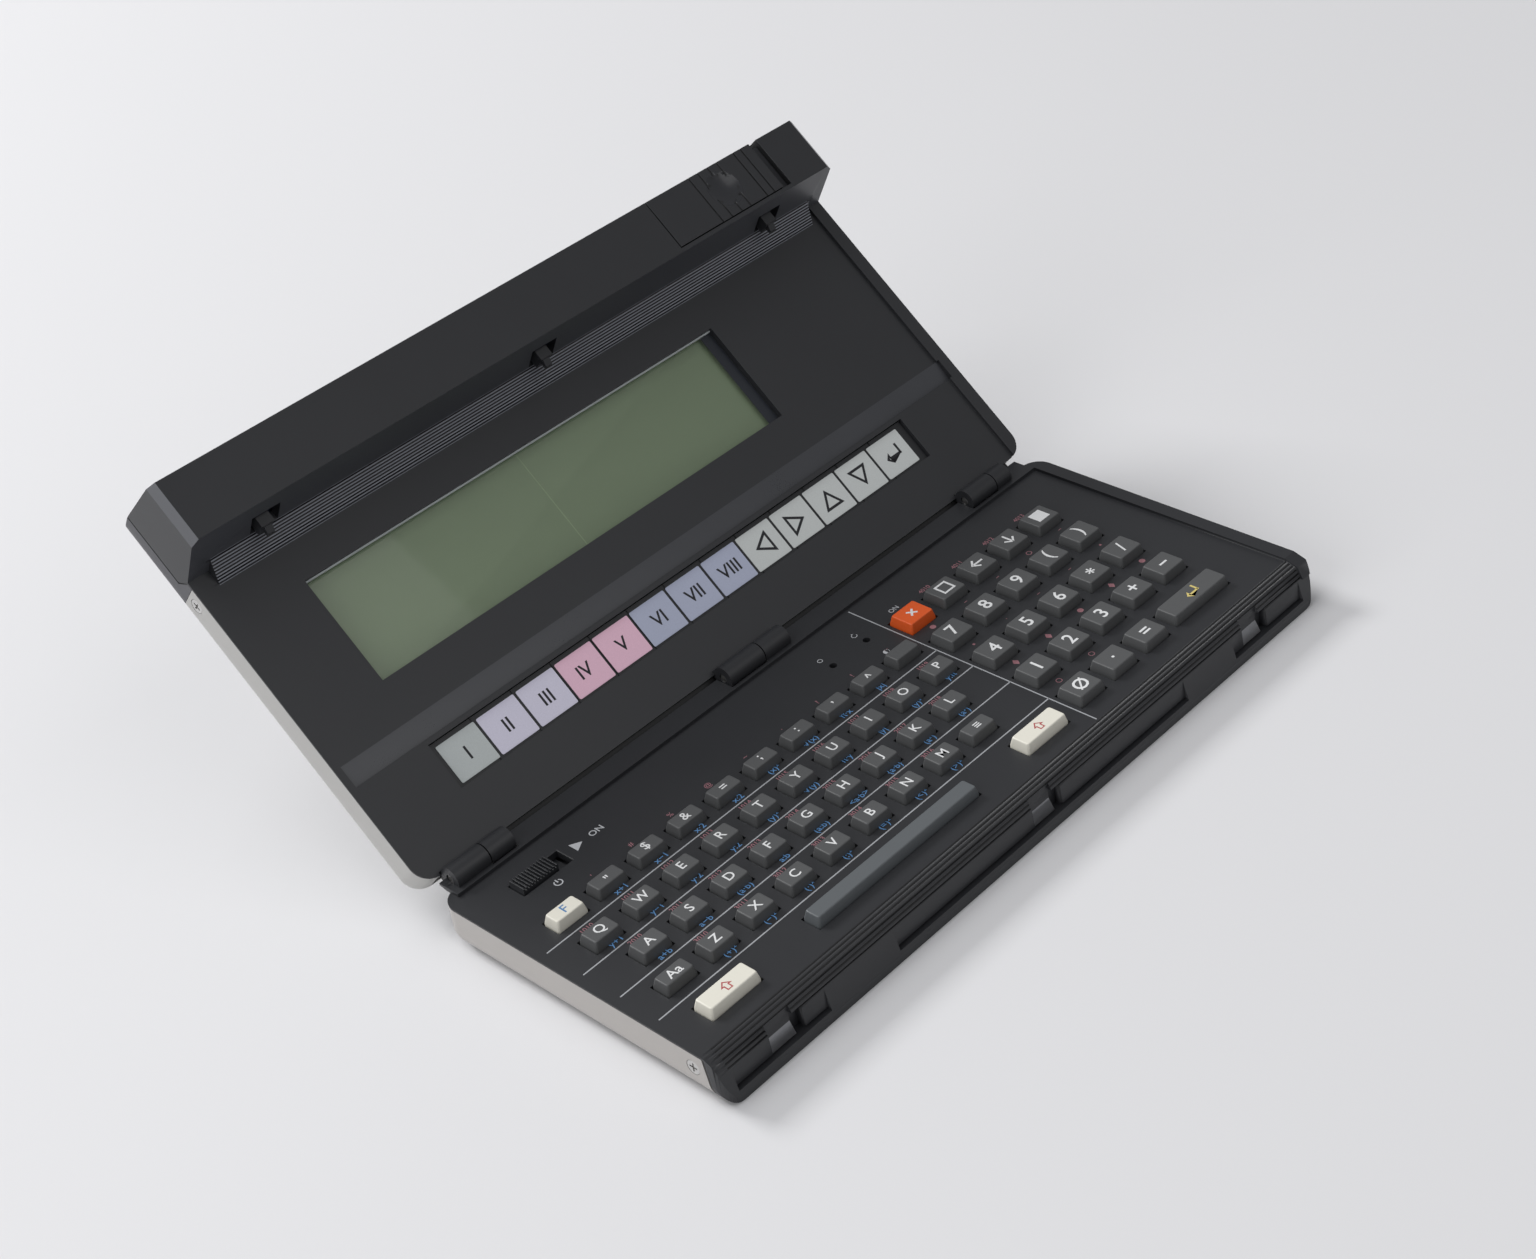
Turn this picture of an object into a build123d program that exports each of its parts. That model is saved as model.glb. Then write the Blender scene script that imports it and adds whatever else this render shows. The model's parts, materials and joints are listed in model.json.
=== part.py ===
"""Clamshell pocket computer: keyboard half, lid half with display and battery ridge.

Sizes are in millimetres. X runs along the hinge, Y from the keyboard front to the
back, Z up. The origin is on the rest face, midway between front lip and hinge axis.
Profiles of the base are given as (distance in front of the axis, height over the
panel); profiles of the lid as (distance from the axis, height over the lid panel).
"""
from build123d import *
import math
import os

# overall
width = 187.0
ridge_reach = 98.0
ridge_depth = 18.4
base_reach = ridge_reach - ridge_depth
half_thick = 12.0
panel_drop = 1.6
tilt = 41.4

# walls and fits
base_cover_t = 1.0
lid_cover_t = 0.6
plate_t = 1.8
skin_t = 0.4
wall_t = 1.6
seat = 0.1
play = 0.3
corner_r = 4.6
belly_r = 4.4
front_r = 3.0
rim_h = 0.8
rim_w = 2.7
rim_start = 3.1
skirt_low = -5.9
skirt_t = 1.4
side_rim_w = 3.5

# hinge
barrel_r = 2.7
barrel_play = 0.4
pin_r = 1.0
pin_play = 0.05
base_edge = 1.2
lid_edge = 1.9
base_barrels = ((4.6, 13.2), (92.9, 100.6), (171.6, 176.6))
lid_barrels = ((13.5, 19.8), (82.1, 92.6), (162.7, 171.3))
pin_spans = ((4.9, 19.5), (82.4, 100.3), (163.0, 176.3))
root_profile = ((1.2, -0.9), (1.2, 1.2), (2.3, 1.0), (2.9, 0.0), (2.5, -0.9))
hinge_lip = ((1.4, 0.8), (-1.8, 0.8), (-1.8, 0.3), (0.2, -0.2), (1.4, -0.2))
hinge_lip_x = (3.1, 183.0)
wall_cut_x = 3.9
wall_cut_low = -5.4

# base front
nose_start = base_reach - 5.8
nose_mid = (base_reach - 2.9, -0.85)
nose_end = (base_reach - 1.6, -3.2)
lip_top = -8.6
ledge = -7.8
beam_back = base_reach - 5.0
split_top = base_reach - 5.3
split_lean = 1.9
split_gap = 0.5
recess_spans = ((3.3, 28.2), (47.6, 140.0), (157.2, 182.4))
groove_count = 6
groove_w = 0.35
groove_d = 0.4
groove_ends = (2.7, 183.5)

# latch
latch_x = (17.8, 94.2, 165.8)
latch_travel = 2.2
tooth_w = 1.8
pocket_back = base_reach - 2.7
pocket_left = 4.6
pocket_split = 1.85
pocket_right = 4.3
slit_roof = -2.7
slit_back = base_reach - 3.2

# keys
key_top = 2.2
key_foot = 0.2
key_gap = 0.3
flange_w = 0.6
flange_t = 0.8
letter = (7.2, 5.2)
narrow = (7.8, 4.5)
number = (8.0, 6.8)
shift = (13.0, 5.2)
execute = (19.0, 6.0)
space_bar = (47.3, 4.4)
key_lean = 0.45
column = 11.0
first_column = 11.6
row_stagger = 3.2
main_row = base_reach * 0.327
bottom_row = base_reach - 12.8
main_pitch = (bottom_row - 0.6 - main_row) / 4
number_column = 122.1
number_step = 11.1
number_row = base_reach * 0.239
number_pitch = (bottom_row - 1.4 - number_row) / 4
space_x = 61.2
right_shift_x = 106.4
left_shift_x = 14.7

# power switch
slot_x = (11.0, 24.0)
slot_u = (9.6, 14.5)
knob_travel = 3.2
knob_top = 1.2
knob_valley = 0.55
knob_ribs = 12
pin_holes = ((100.2, 15.3), (111.1, 15.2))
pin_hole_r = 0.9

# base inside
board_x = (7.3, 180.2)
board_u = (8.0, base_reach - 7.6)
board_drop = 5.2
board_t = 1.2
mat_t = 1.2
chip_t = 0.9
shield_t = 1.8
shield_x = (6.5, 180.5)
shield_u = (11.0, base_reach - 6.0)
post_half = 1.4
peg_half = 0.8
post_u = (main_row - 5.4, bottom_row - 5.3)
posts = ((7.9, post_u[0]), (7.9, post_u[1]), (115.0, 12.0), (112.0, post_u[1]),
         (178.0, post_u[0]), (178.0, post_u[1]))
board_chip_places = ((40, 30, 20, 14), (70, 32, 20, 14), (100, 34, 16, 12), (132, 30, 24, 10),
                     (132, 48, 24, 10), (52, 54, 12, 8), (84, 56, 10, 6), (160, 40, 10, 14))
head_r = 1.6
shank_r = 0.8
shank_end = 4.6
screw_hole_r = 0.85
screw_hole_end = 5.0
fine_sides = 24
head_sides = 16
shank_sides = 8
cross = (2.0, 0.4)
side_screw_u = base_reach - 8.0
side_screw_z = -3.8

# lid panel
foot_v = ridge_reach - 19.0
brow_v = ridge_reach - 16.0
window_x = (20.4, 139.2)
window_v = (foot_v - 38.2, foot_v - 12.2)
strip_x = (19.4, 164.8)
strip_v = (13.6, 24.6)
strip_drop = 1.0
touch_count = 13
step_v = (25.8, 30.9)
step_d = 0.8
step_x = (1.6, 184.2)
lid_board_x = (11.0, 173.0)
lid_board_v = (8.0, 43.0)
spacer_places = ((13.6, 10.5), (170.0, 10.5), (13.6, 33.0), (170.0, 40.0))
lid_chip_x = (34, 62, 90, 118)
lid_chip = (14, 12)
lid_chip_v = 28
power_chip = ((140, 158), (20, 32))
lid_split = foot_v - 1.6
lid_screw_v = foot_v - 4.2
lid_screw_w = -3.6

# ridge
ridge_top = 13.6
back_v = ridge_reach - 1.6
heel_v = ridge_reach - 0.8
part_w = -3.4
end_bevel = 1.6
end_t = 1.8
rib_x = (5.2, 181.8)
rib_foot = foot_v - 3.8
rib_head = (foot_v + 0.9, 4.0)
rib_count = 9

# latch slider
slide_x = (137.2, 173.8)
slide_v = brow_v + 1.0
slide_floor = 12.0
slide_skirt = 7.0
tab_x = (150.2, 156.2)
bar_x = (9.0, 176.0)
bar_v = (brow_v + 1.5, brow_v + 3.1)
bar_w = (5.6, 10.4)
hook_w = (5.0, 8.6)
hook_half = 1.6
hook_v = foot_v - 0.3
tooth_v = foot_v - 1.8
grip_x = (151.2, 154.2, 157.4, 160.4, 166.0, 168.4)
dimple_at = (157.6, brow_v + 8.0)
dimple_r = 16.0

# battery bay
cell_r = 7.25
cell_len = 50.5
cell_count = 3
cell_start = 18.5
cell_at = (foot_v + 9.6, -1.6)
bay_x = (15.7, 172.3)
bay_wall = 1.2
door_v = foot_v + 1.8
door_t = 1.4
door_lip = -7.2
ledge_reach = 2.0
bay_top = 2.0

# derived values
axis_y = base_reach / 2
panel_z = half_thick - panel_drop
lean_c = math.cos(math.radians(tilt))
lean_s = math.sin(math.radians(tilt))
floor_w = -panel_z
hinge_line = Plane(origin=(0, axis_y, half_thick), x_dir=(0, 1, 0), z_dir=(1, 0, 0))
base_face = Plane(origin=(0, axis_y, panel_z), x_dir=(1, 0, 0), z_dir=(0, 0, 1))
base_side = Plane(origin=(0, axis_y, panel_z), x_dir=(0, -1, 0), z_dir=(-1, 0, 0))
lid_point = (0, axis_y + panel_drop * lean_s, half_thick - panel_drop * lean_c)
lid_face = Plane(origin=lid_point, x_dir=(1, 0, 0), z_dir=(0, -lean_s, lean_c))
lid_side = Plane(origin=lid_point, x_dir=(0, lean_c, lean_s), z_dir=(1, 0, 0))


def at(x):
    """Centred x of a place measured from the left side."""
    return x - width / 2


def save(piece, name):
    """Labels a finished piece and writes it under its own name."""
    piece.part.label = name
    export_step(piece.part, "parts/" + name + ".step")


def base_prism(points, x0, x1, mode=Mode.ADD):
    """Adds a base side profile between two distances from the left side."""
    with BuildSketch(base_side.offset(-at(x1))) as profile:
        with BuildLine():
            Polyline(*points, close=True)
        make_face()
    extrude(profile.sketch, amount=x1 - x0, mode=mode)


def lid_prism(points, x0, x1, mode=Mode.ADD):
    """Adds a lid side profile between two distances from the left side."""
    with BuildSketch(lid_side.offset(at(x0))) as profile:
        with BuildLine():
            Polyline(*points, close=True)
        make_face()
    extrude(profile.sketch, amount=x1 - x0, mode=mode)


def base_slab(x, u, z, mode=Mode.ADD):
    """Adds a box of the base: x from the left, u in front of the axis, z over the panel."""
    with BuildSketch(base_face.offset(z[0])) as plan:
        with Locations((at((x[0] + x[1]) / 2), -(u[0] + u[1]) / 2)):
            Rectangle(x[1] - x[0], u[1] - u[0])
    extrude(plan.sketch, amount=z[1] - z[0], mode=mode)


def lid_slab(x, v, w, mode=Mode.ADD):
    """Adds a box of the lid: x from the left, v from the axis, w over the lid panel."""
    with BuildSketch(lid_face.offset(w[0])) as plan:
        with Locations((at((x[0] + x[1]) / 2), (v[0] + v[1]) / 2)):
            Rectangle(x[1] - x[0], v[1] - v[0])
    extrude(plan.sketch, amount=w[1] - w[0], mode=mode)


def round_bar(x, radius, mode=Mode.ADD):
    """Adds a round bar on the hinge axis."""
    with BuildSketch(hinge_line.offset(at(x[0]))) as section:
        Circle(radius)
    extrude(section.sketch, amount=x[1] - x[0], mode=mode)


def square_at(x, y, half):
    """Spans of a square place in plan."""
    return (x - half, x + half), (y - half, y + half)


def side_disc(plane, place, x, radius, mode=Mode.ADD, sides=0):
    """Adds a short cylinder or many-sided bar along X at a place of a side profile."""
    with BuildSketch(plane) as section:
        with Locations(place):
            if sides:
                RegularPolygon(radius, sides)
            else:
                Circle(radius)
    extrude(section.sketch, amount=x, mode=mode)


def envelope(face, sign, near, inset, far, top):
    """Rounded outer form of one half, drawn on its panel plane, open at the far end."""
    low = floor_w + inset
    half = width / 2 - inset
    start = (near + inset) * sign
    end = far * sign
    with BuildPart() as form:
        with BuildSketch(face.offset(low)):
            with BuildLine():
                FilletPolyline((-half, end), (-half, start), (half, start), (half, end),
                               radius=corner_r - inset)
                Line((half, end), (-half, end))
            make_face()
        extrude(amount=top - low)
        upward = Axis(face.origin, face.z_dir)
        bottom = form.faces().filter_by(upward).sort_by(upward)[0]
        rim = [edge for edge in bottom.edges() if abs(face.to_local_coords(edge @ 0.5).Y - end) > 1]
        fillet(rim, radius=belly_r - inset)
    return form.part


def tray(face, side_prism, near, inset, region, gap=0):
    """Sheet between the outer form and the inset form, low at the hinge, inside a region."""
    sign = -1 if face is base_face else 1
    far = ridge_reach + 4
    start, end, low = near - 1, near + inset + play, wall_cut_low + gap
    outer = envelope(face, sign, near, 0, far, 0)
    inner = envelope(face, sign, near, inset, far + 5, 5)
    with BuildPart() as sheet:
        add(outer)
        add(inner, mode=Mode.SUBTRACT)
        side_prism(region, -1, width + 1, Mode.INTERSECT)
        side_prism(((start, 1), (start, low), (end, low), (end, 1)),
                   wall_cut_x + gap, width - wall_cut_x - gap, Mode.SUBTRACT)
    return sheet.part


def base_region(gap):
    """Side region of the base cover, up to the slanted split line."""
    return ((0, -skin_t), (split_top + gap, -skin_t),
            (split_top + split_lean + gap, floor_w), (0, floor_w))


def lid_region(gap):
    """Side region of the lid cover, up to the ridge."""
    return ((0, -skin_t), (lid_split + gap, -skin_t), (lid_split + gap, floor_w), (0, floor_w))


def notches(spans):
    """Barrel spans widened by the play between neighbouring barrels."""
    return [(a - play, b + play) for a, b in spans]


def key_sites():
    """Every key: group name, x from the left, distance before the axis, foot size."""
    sites = [("key_f", first_column, main_row, narrow)]
    for i in range(9):
        sites.append(("keys_symbols", first_column + column * (i + 1), main_row, narrow))
    for i in range(10):
        sites.append(("keys_top_letters", first_column + column * i, main_row + main_pitch, letter))
    for i in range(9):
        x = first_column + row_stagger + column * i
        sites.append(("keys_middle_letters", x, main_row + 2 * main_pitch, letter))
    sites.append(("key_caps", first_column, main_row + 3 * main_pitch, narrow))
    for i in range(7):
        x = first_column + column * (i + 1)
        sites.append(("keys_bottom_letters", x, main_row + 3 * main_pitch, letter))
    sites.append(("key_mode", first_column + column * 8, main_row + 3 * main_pitch, narrow))
    sites.append(("key_shift_left", left_shift_x, bottom_row, shift))
    sites.append(("key_shift_right", right_shift_x, bottom_row, shift))
    sites.append(("key_space", space_x, bottom_row, space_bar))
    block = (("key_break", "keys_edit", "keys_edit", "keys_edit", "keys_edit"),
             ("key_7", "key_8", "key_9", "keys_operators", "keys_operators"),
             ("key_4", "key_5", "key_6", "keys_operators", "keys_operators"),
             ("key_1", "key_2", "key_3", "keys_operators", "keys_operators"),
             ("key_0", "keys_operators", "keys_operators"))
    for j, names in enumerate(block):
        for i, name in enumerate(names):
            x = number_column + number_step * i
            sites.append((name, x, number_row + number_pitch * j, number))
    x = number_column + number_step * 3.5
    sites.append(("key_execute", x, number_row + number_pitch * 4, execute))
    return sites


def key_solid(x, u, foot):
    """One key: flange under the panel, shank through it, tapered cap."""
    wide, deep = foot
    base_slab((x - wide / 2 - flange_w, x + wide / 2 + flange_w),
              (u - deep / 2 - flange_w, u + deep / 2 + flange_w),
              (-plate_t - seat - flange_t, -plate_t - seat))
    base_slab((x - wide / 2, x + wide / 2), (u - deep / 2, u + deep / 2),
              (-plate_t - seat, key_foot))
    with BuildSketch(base_face.offset(key_foot)) as plan:
        with Locations((at(x), -u)):
            Rectangle(wide, deep)
    lean = math.degrees(math.atan(key_lean / (key_top - key_foot)))
    extrude(plan.sketch, amount=key_top - key_foot, taper=lean)


def make_keys():
    """Every key group as its own part."""
    groups = {}
    for name, x, u, foot in key_sites():
        groups.setdefault(name, []).append((x, u, foot))
    for name, sites in groups.items():
        with BuildPart() as keys:
            for x, u, foot in sites:
                key_solid(x, u, foot)
        save(keys, name)


def deck_section():
    """Panel plate, rounded nose, front face, lip and front beam as one extrusion."""
    with BuildSketch(base_side.offset(-width / 2)) as section:
        with BuildLine():
            Line((base_edge, 0), (nose_start, 0))
            ThreePointArc((nose_start, 0), nose_mid, nose_end)
            Polyline(nose_end, (base_reach, lip_top), (base_reach, floor_w), (beam_back, floor_w),
                     (beam_back, -plate_t), (base_edge, -plate_t), (base_edge, 0))
        make_face()
    extrude(section.sketch, amount=width)


def front_corners():
    """Rounds the two front corners in plan."""
    with BuildSketch(base_face.offset(floor_w - 1)) as plan:
        with BuildLine():
            half = width / 2
            FilletPolyline((-half, 20), (-half, -base_reach), (half, -base_reach), (half, 20),
                           radius=front_r)
            Line((half, 20), (-half, 20))
        make_face()
    extrude(plan.sketch, amount=2 * half_thick, mode=Mode.INTERSECT)


def panel_cuts():
    """Front recesses, latch pockets, grooves, key holes, switch slot and pin holes."""
    face_end = (nose_end[0] + 0.5, ledge)
    for a, b in recess_spans:
        base_prism((nose_end, face_end, (base_reach + 1, ledge), (base_reach + 1, nose_end[1])),
                   a, b, Mode.SUBTRACT)
        base_prism(((face_end[0] - 0.7, ledge), (face_end[0] - 0.7, ledge + 0.5),
                    (base_reach, ledge + 0.5), (base_reach, ledge)), a, b, Mode.SUBTRACT)
    for x in latch_x:
        base_prism(((pocket_back, 1), (pocket_back, -4.9), (pocket_back + 1.7, ledge),
                    (base_reach + 1, ledge), (base_reach + 1, 1)),
                   x - pocket_left, x + pocket_split + 0.05, Mode.SUBTRACT)
        base_prism(((slit_back, slit_roof), (slit_back, ledge), (base_reach + 1, ledge),
                    (base_reach + 1, slit_roof)), x + pocket_split, x + pocket_right, Mode.SUBTRACT)
    nose_grooves()
    for name, x, u, foot in key_sites():
        hole = (foot[0] / 2 + key_gap, foot[1] / 2 + key_gap)
        base_slab((x - hole[0], x + hole[0]), (u - hole[1], u + hole[1]),
                  (-plate_t - 1, 1), Mode.SUBTRACT)
    base_slab(slot_x, slot_u, (-plate_t - 1, 1), Mode.SUBTRACT)
    for x, u in pin_holes:
        with BuildSketch(base_face.offset(1)) as hole:
            with Locations((at(x), -u)):
                RegularPolygon(pin_hole_r, 12)
        extrude(hole.sketch, amount=-plate_t - 2, mode=Mode.SUBTRACT)


def nose_grooves():
    """Six fine grooves following the rounded nose."""
    arc = ThreePointArc((nose_start, 0), nose_mid, nose_end, mode=Mode.PRIVATE)
    for i in range(groove_count):
        spot = arc @ ((i + 0.5) / groove_count)
        along = arc % ((i + 0.5) / groove_count)
        out = Vector(-along.Y, along.X)
        a = spot + along * groove_w + out * groove_w
        b = spot - along * groove_w + out * groove_w
        c = spot - out * groove_d
        base_prism(((a.X, a.Y), (b.X, b.Y), (c.X, c.Y)), *groove_ends, Mode.SUBTRACT)


def knuckle_roots(spans, prism):
    """Webs that tie the barrels of one half to its panel."""
    for a, b in spans:
        prism(root_profile, a, b)


def side_skirts(slab, sheet_t, near, far, screw_at):
    """Walls under the edges of a moulding, with a block for each side screw."""
    inner = sheet_t + seat
    low = (skirt_low, -plate_t)
    for x in ((inner, inner + skirt_t), (width - inner - skirt_t, width - inner)):
        slab(x, (near + inner, far), low)
    slab((inner, width - inner), (near + inner, near + inner + skirt_t), low)
    for x in ((inner, inner + 5.2), (width - inner - 5.2, width - inner)):
        slab(x, (screw_at - 2.4, far), low)


def make_base_panel():
    """Upper moulding of the keyboard half with rims, barrels, beam and posts."""
    body = envelope(base_face, -1, base_edge, 0, base_reach + 4, rim_h)
    tray_room = tray(base_face, base_prism, base_edge, base_cover_t + seat,
                     base_region(split_gap), seat)
    with BuildPart() as base_panel:
        deck_section()
        side_skirts(base_slab, base_cover_t, base_edge, beam_back, side_screw_u)
        rim = ((base_edge, 0), (base_edge, rim_h), (nose_start + 0.2, rim_h),
               (nose_mid[0] + 0.5, nose_mid[1] + 0.6), (nose_end[0] + 0.7, nose_end[1] + 0.2),
               nose_end, nose_mid, (nose_start, 0))
        base_prism(rim, width - side_rim_w, width)
        base_slab((rim_start, width), (base_edge, base_edge + rim_w), (0, rim_h))
        add(body, mode=Mode.INTERSECT)
        front_corners()
        add(tray_room, mode=Mode.SUBTRACT)
        panel_cuts()
        for x, u in posts:
            base_slab(*square_at(x, u, post_half), (-board_drop, -plate_t))
            base_slab(*square_at(x, u, peg_half), (-board_drop - board_t - 0.6, -board_drop))
        base_prism(hinge_lip, *hinge_lip_x)
        hinge_barrels(base_barrels, lid_barrels, base_prism)
        side_screw_holes(base_side, (side_screw_u, side_screw_z))
    save(base_panel, "base_panel")


def hinge_barrels(own, others, prism):
    """Barrels of one half, bored for the pins, and notches for the other half's."""
    for span in own:
        round_bar(span, barrel_r)
    knuckle_roots(own, prism)
    for span in notches(others):
        round_bar(span, barrel_r + barrel_play, Mode.SUBTRACT)
    for a, b in own:
        round_bar((a - 1, b + 1), pin_r + pin_play, Mode.SUBTRACT)


def side_screw_holes(plane, place):
    """Blind holes for the two side screws of one half."""
    for side in (-1, 1):
        side_disc(plane.offset(side * width / 2), place, -side * screw_hole_end, screw_hole_r,
                  Mode.SUBTRACT, shank_sides)


def make_cover(name, tray_part, plane, screw_at):
    """Sheet metal tray with the two screw holes cut out."""
    with BuildPart() as cover:
        add(tray_part)
        for side in (-1, 1):
            side_disc(plane.offset(side * width / 2), screw_at, -side * 2.0, head_r + seat,
                      Mode.SUBTRACT, head_sides)
    save(cover, name)


def make_screws(name, plane, place, sheet_t):
    """The two cross-head screws that hold one cover, heads flush with its sides."""
    with BuildPart() as screws:
        for side in (-1, 1):
            start = plane.offset(side * (width / 2 - 0.05))
            side_disc(start, place, -side * (sheet_t - 0.05), head_r, sides=head_sides)
            side_disc(start, place, -side * shank_end, shank_r, sides=shank_sides)
            with BuildSketch(start) as slot:
                with Locations(place):
                    Rectangle(*cross)
                    Rectangle(*reversed(cross))
            extrude(slot.sketch, amount=-side * cross[1], mode=Mode.SUBTRACT)
    save(screws, name)


def make_key_mat():
    """Rubber sheet on the main board, under all keys, cut away at the posts."""
    with BuildPart() as key_mat:
        base_slab((board_x[0] + 0.6, board_x[1] - 6), (13.8, board_u[1] - 1.2),
                  (-board_drop, -board_drop + mat_t))
        for x, u in posts:
            base_slab(*square_at(x, u, post_half + play), (-board_drop - 1, 0), Mode.SUBTRACT)
        base_slab((slot_x[0] - 2, slot_x[1] + 2), (slot_u[0], slot_u[1] + play),
                  (-board_drop - 1, 0), Mode.SUBTRACT)
    save(key_mat, "key_mat")


def make_main_board():
    """Main circuit board under the rubber sheet, drilled at the posts."""
    with BuildPart() as main_board:
        base_slab(board_x, board_u, (-board_drop - board_t, -board_drop))
        for x, u in posts:
            base_slab(*square_at(x, u, peg_half + seat), (-board_drop - board_t - 1, 0),
                      Mode.SUBTRACT)
    save(main_board, "main_board")


def make_board_chips():
    """Flat packages on the underside of the main board."""
    under = -board_drop - board_t
    with BuildPart() as board_chips:
        for x, u, wide, deep in board_chip_places:
            base_slab((x - wide / 2, x + wide / 2), (u - deep / 2, u + deep / 2),
                      (under - chip_t, under))
    save(board_chips, "board_chips")


def make_shield():
    """Steel plate lying on the floor of the base cover."""
    low = floor_w + base_cover_t
    with BuildPart() as shield_plate:
        base_slab(shield_x, shield_u, (low, low + shield_t))
        for x, u in posts:
            base_slab(*square_at(x, u, post_half), (low - 1, low + shield_t + 1), Mode.SUBTRACT)
    save(shield_plate, "shield_plate")


def make_power_knob():
    """Ribbed slide knob with a flange under the panel."""
    left = slot_x[0] + play
    right = slot_x[1] - play - knob_travel
    near, far = slot_u[0] + play, slot_u[1] - play
    with BuildPart() as power_knob:
        base_slab((left, right), (near, far), (-plate_t - play, knob_valley))
        base_slab((left - 1.6, right + 3.0), (near - 1.2, far + 1.2),
                  (-plate_t - play - 0.7, -plate_t - play))
        step = (right - left) / (knob_ribs - 0.5)
        for i in range(knob_ribs):
            a = left + step * i
            base_slab((a, a + step / 2), (near, far), (knob_valley, knob_top))
    save(power_knob, "power_knob")


def make_power_switch():
    """Body of the slide switch on the main board, under the knob."""
    with BuildPart() as power_switch:
        base_slab((slot_x[0] - 1, slot_x[1] + 1), (slot_u[0], slot_u[1]), (-board_drop, -3.2))
    save(power_switch, "power_switch")


def make_pins():
    """Steel hinge pins, one through each pair of barrels."""
    with BuildPart() as hinge_pins:
        for a, b in pin_spans:
            side_disc(hinge_line.offset(at(a)), (0, 0), b - a, pin_r, sides=fine_sides)
    save(hinge_pins, "hinge_pins")


def lid_section():
    """Side profile of the lid moulding: panel plate, wall, ridge top and back."""
    inner_top = ridge_top - wall_t
    return ((lid_edge, 0), (foot_v, 0), (brow_v, ridge_top), (back_v, ridge_top),
            (ridge_reach, part_w), (ridge_reach - wall_t, part_w), (back_v - wall_t, inner_top),
            (brow_v + wall_t, inner_top), (foot_v + wall_t, -plate_t), (lid_edge, -plate_t))


def ridge_end():
    """Side profile of the ridge's end walls in the lid moulding."""
    return ((foot_v - 3, 0), (foot_v, 0), (brow_v, ridge_top), (back_v, ridge_top),
            (ridge_reach, part_w), (foot_v + 1.8, part_w), (foot_v, -skin_t), (foot_v - 3, -skin_t))


def rib_band():
    """Slanted band of fine ribs at the foot of the ridge wall."""
    lid_prism(((rib_foot, 0), rib_head, (foot_v + 1, 0)), *rib_x)
    slope = Line((rib_foot, 0), rib_head, mode=Mode.PRIVATE)
    along = slope % 0
    out = Vector(-along.Y, along.X)
    for i in range(rib_count):
        spot = slope @ ((i + 0.5) / rib_count)
        a = spot + along * groove_w + out * groove_w
        b = spot - along * groove_w + out * groove_w
        c = spot - out * groove_d
        lid_prism(((a.X, a.Y), (b.X, b.Y), (c.X, c.Y)), rib_x[0] - 1, rib_x[1] + 1, Mode.SUBTRACT)


def slider_seat():
    """Thickened corner of the ridge and the recess that carries the latch slider."""
    thick = slide_floor - 1.2
    lid_prism(((brow_v + 0.8, thick), (back_v - 2.6, thick), (back_v - 2.1, slide_skirt - 1.3),
               (back_v + 0.2, slide_skirt - 1.3), (back_v - 0.2, ridge_top - 0.4),
               (brow_v + 0.8, ridge_top - 0.4)), slide_x[0] - 1.6, slide_x[1] + 1.6)
    lid_prism(((slide_v, slide_floor), (back_v - 1.15, slide_floor),
               (back_v - 0.7, slide_skirt), (ridge_reach + 1, slide_skirt),
               (ridge_reach + 1, ridge_top + 1), (slide_v, ridge_top + 1)), *slide_x,
              Mode.SUBTRACT)
    lid_slab((tab_x[0] - 0.8, tab_x[1] + latch_travel + 0.8), (bar_v[0] - 0.1, bar_v[1] + 0.3),
             (thick - 1, ridge_top), Mode.SUBTRACT)


def make_lid_frame():
    """Black moulding of the lid: panel, window, strip opening, wall and ridge."""
    body = envelope(lid_face, 1, lid_edge, 0, ridge_reach + 4, ridge_top + 1)
    tray_room = tray(lid_face, lid_prism, lid_edge, lid_cover_t + seat, lid_region(seat), seat)
    with BuildPart() as lid_frame:
        lid_prism(lid_section(), 0, width)
        for x in (0, width - end_t):
            lid_prism(ridge_end(), x, x + end_t)
        side_skirts(lid_slab, lid_cover_t, lid_edge, lid_split - 0.5, lid_screw_v)
        lid_slab((width - side_rim_w, width), (lid_edge, foot_v + 0.2), (0, rim_h))
        add(body, mode=Mode.INTERSECT)
        rib_band()
        lid_prism(((step_v[1], 0), (step_v[0], -step_d), (step_v[0], 1), (step_v[1], 1)), *step_x,
                  Mode.SUBTRACT)
        add(tray_room, mode=Mode.SUBTRACT)
        notch = ((lid_split, -skin_t), (foot_v, -skin_t), (foot_v + 1.8, part_w), (lid_split, part_w))
        for x in (-1, width - end_t - seat):
            lid_prism(notch, x, x + end_t + 1 + seat, Mode.SUBTRACT)
        lid_slab(window_x, window_v, (-plate_t - 1, 1), Mode.SUBTRACT)
        lid_slab(strip_x, strip_v, (-plate_t - 1, 1), Mode.SUBTRACT)
        for x in latch_x:
            lid_slab((x - hook_half - 1, x + hook_half + latch_travel + 0.8),
                     (foot_v - 1.5, bar_v[0] - 0.1), (rib_head[1], hook_w[1] + 0.8),
                     Mode.SUBTRACT)
        slider_seat()
        bevel_ridge_ends()
        hinge_barrels(lid_barrels, base_barrels, lid_prism)
        side_screw_holes(lid_side, (lid_screw_v, lid_screw_w))
    save(lid_frame, "lid_frame")


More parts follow.
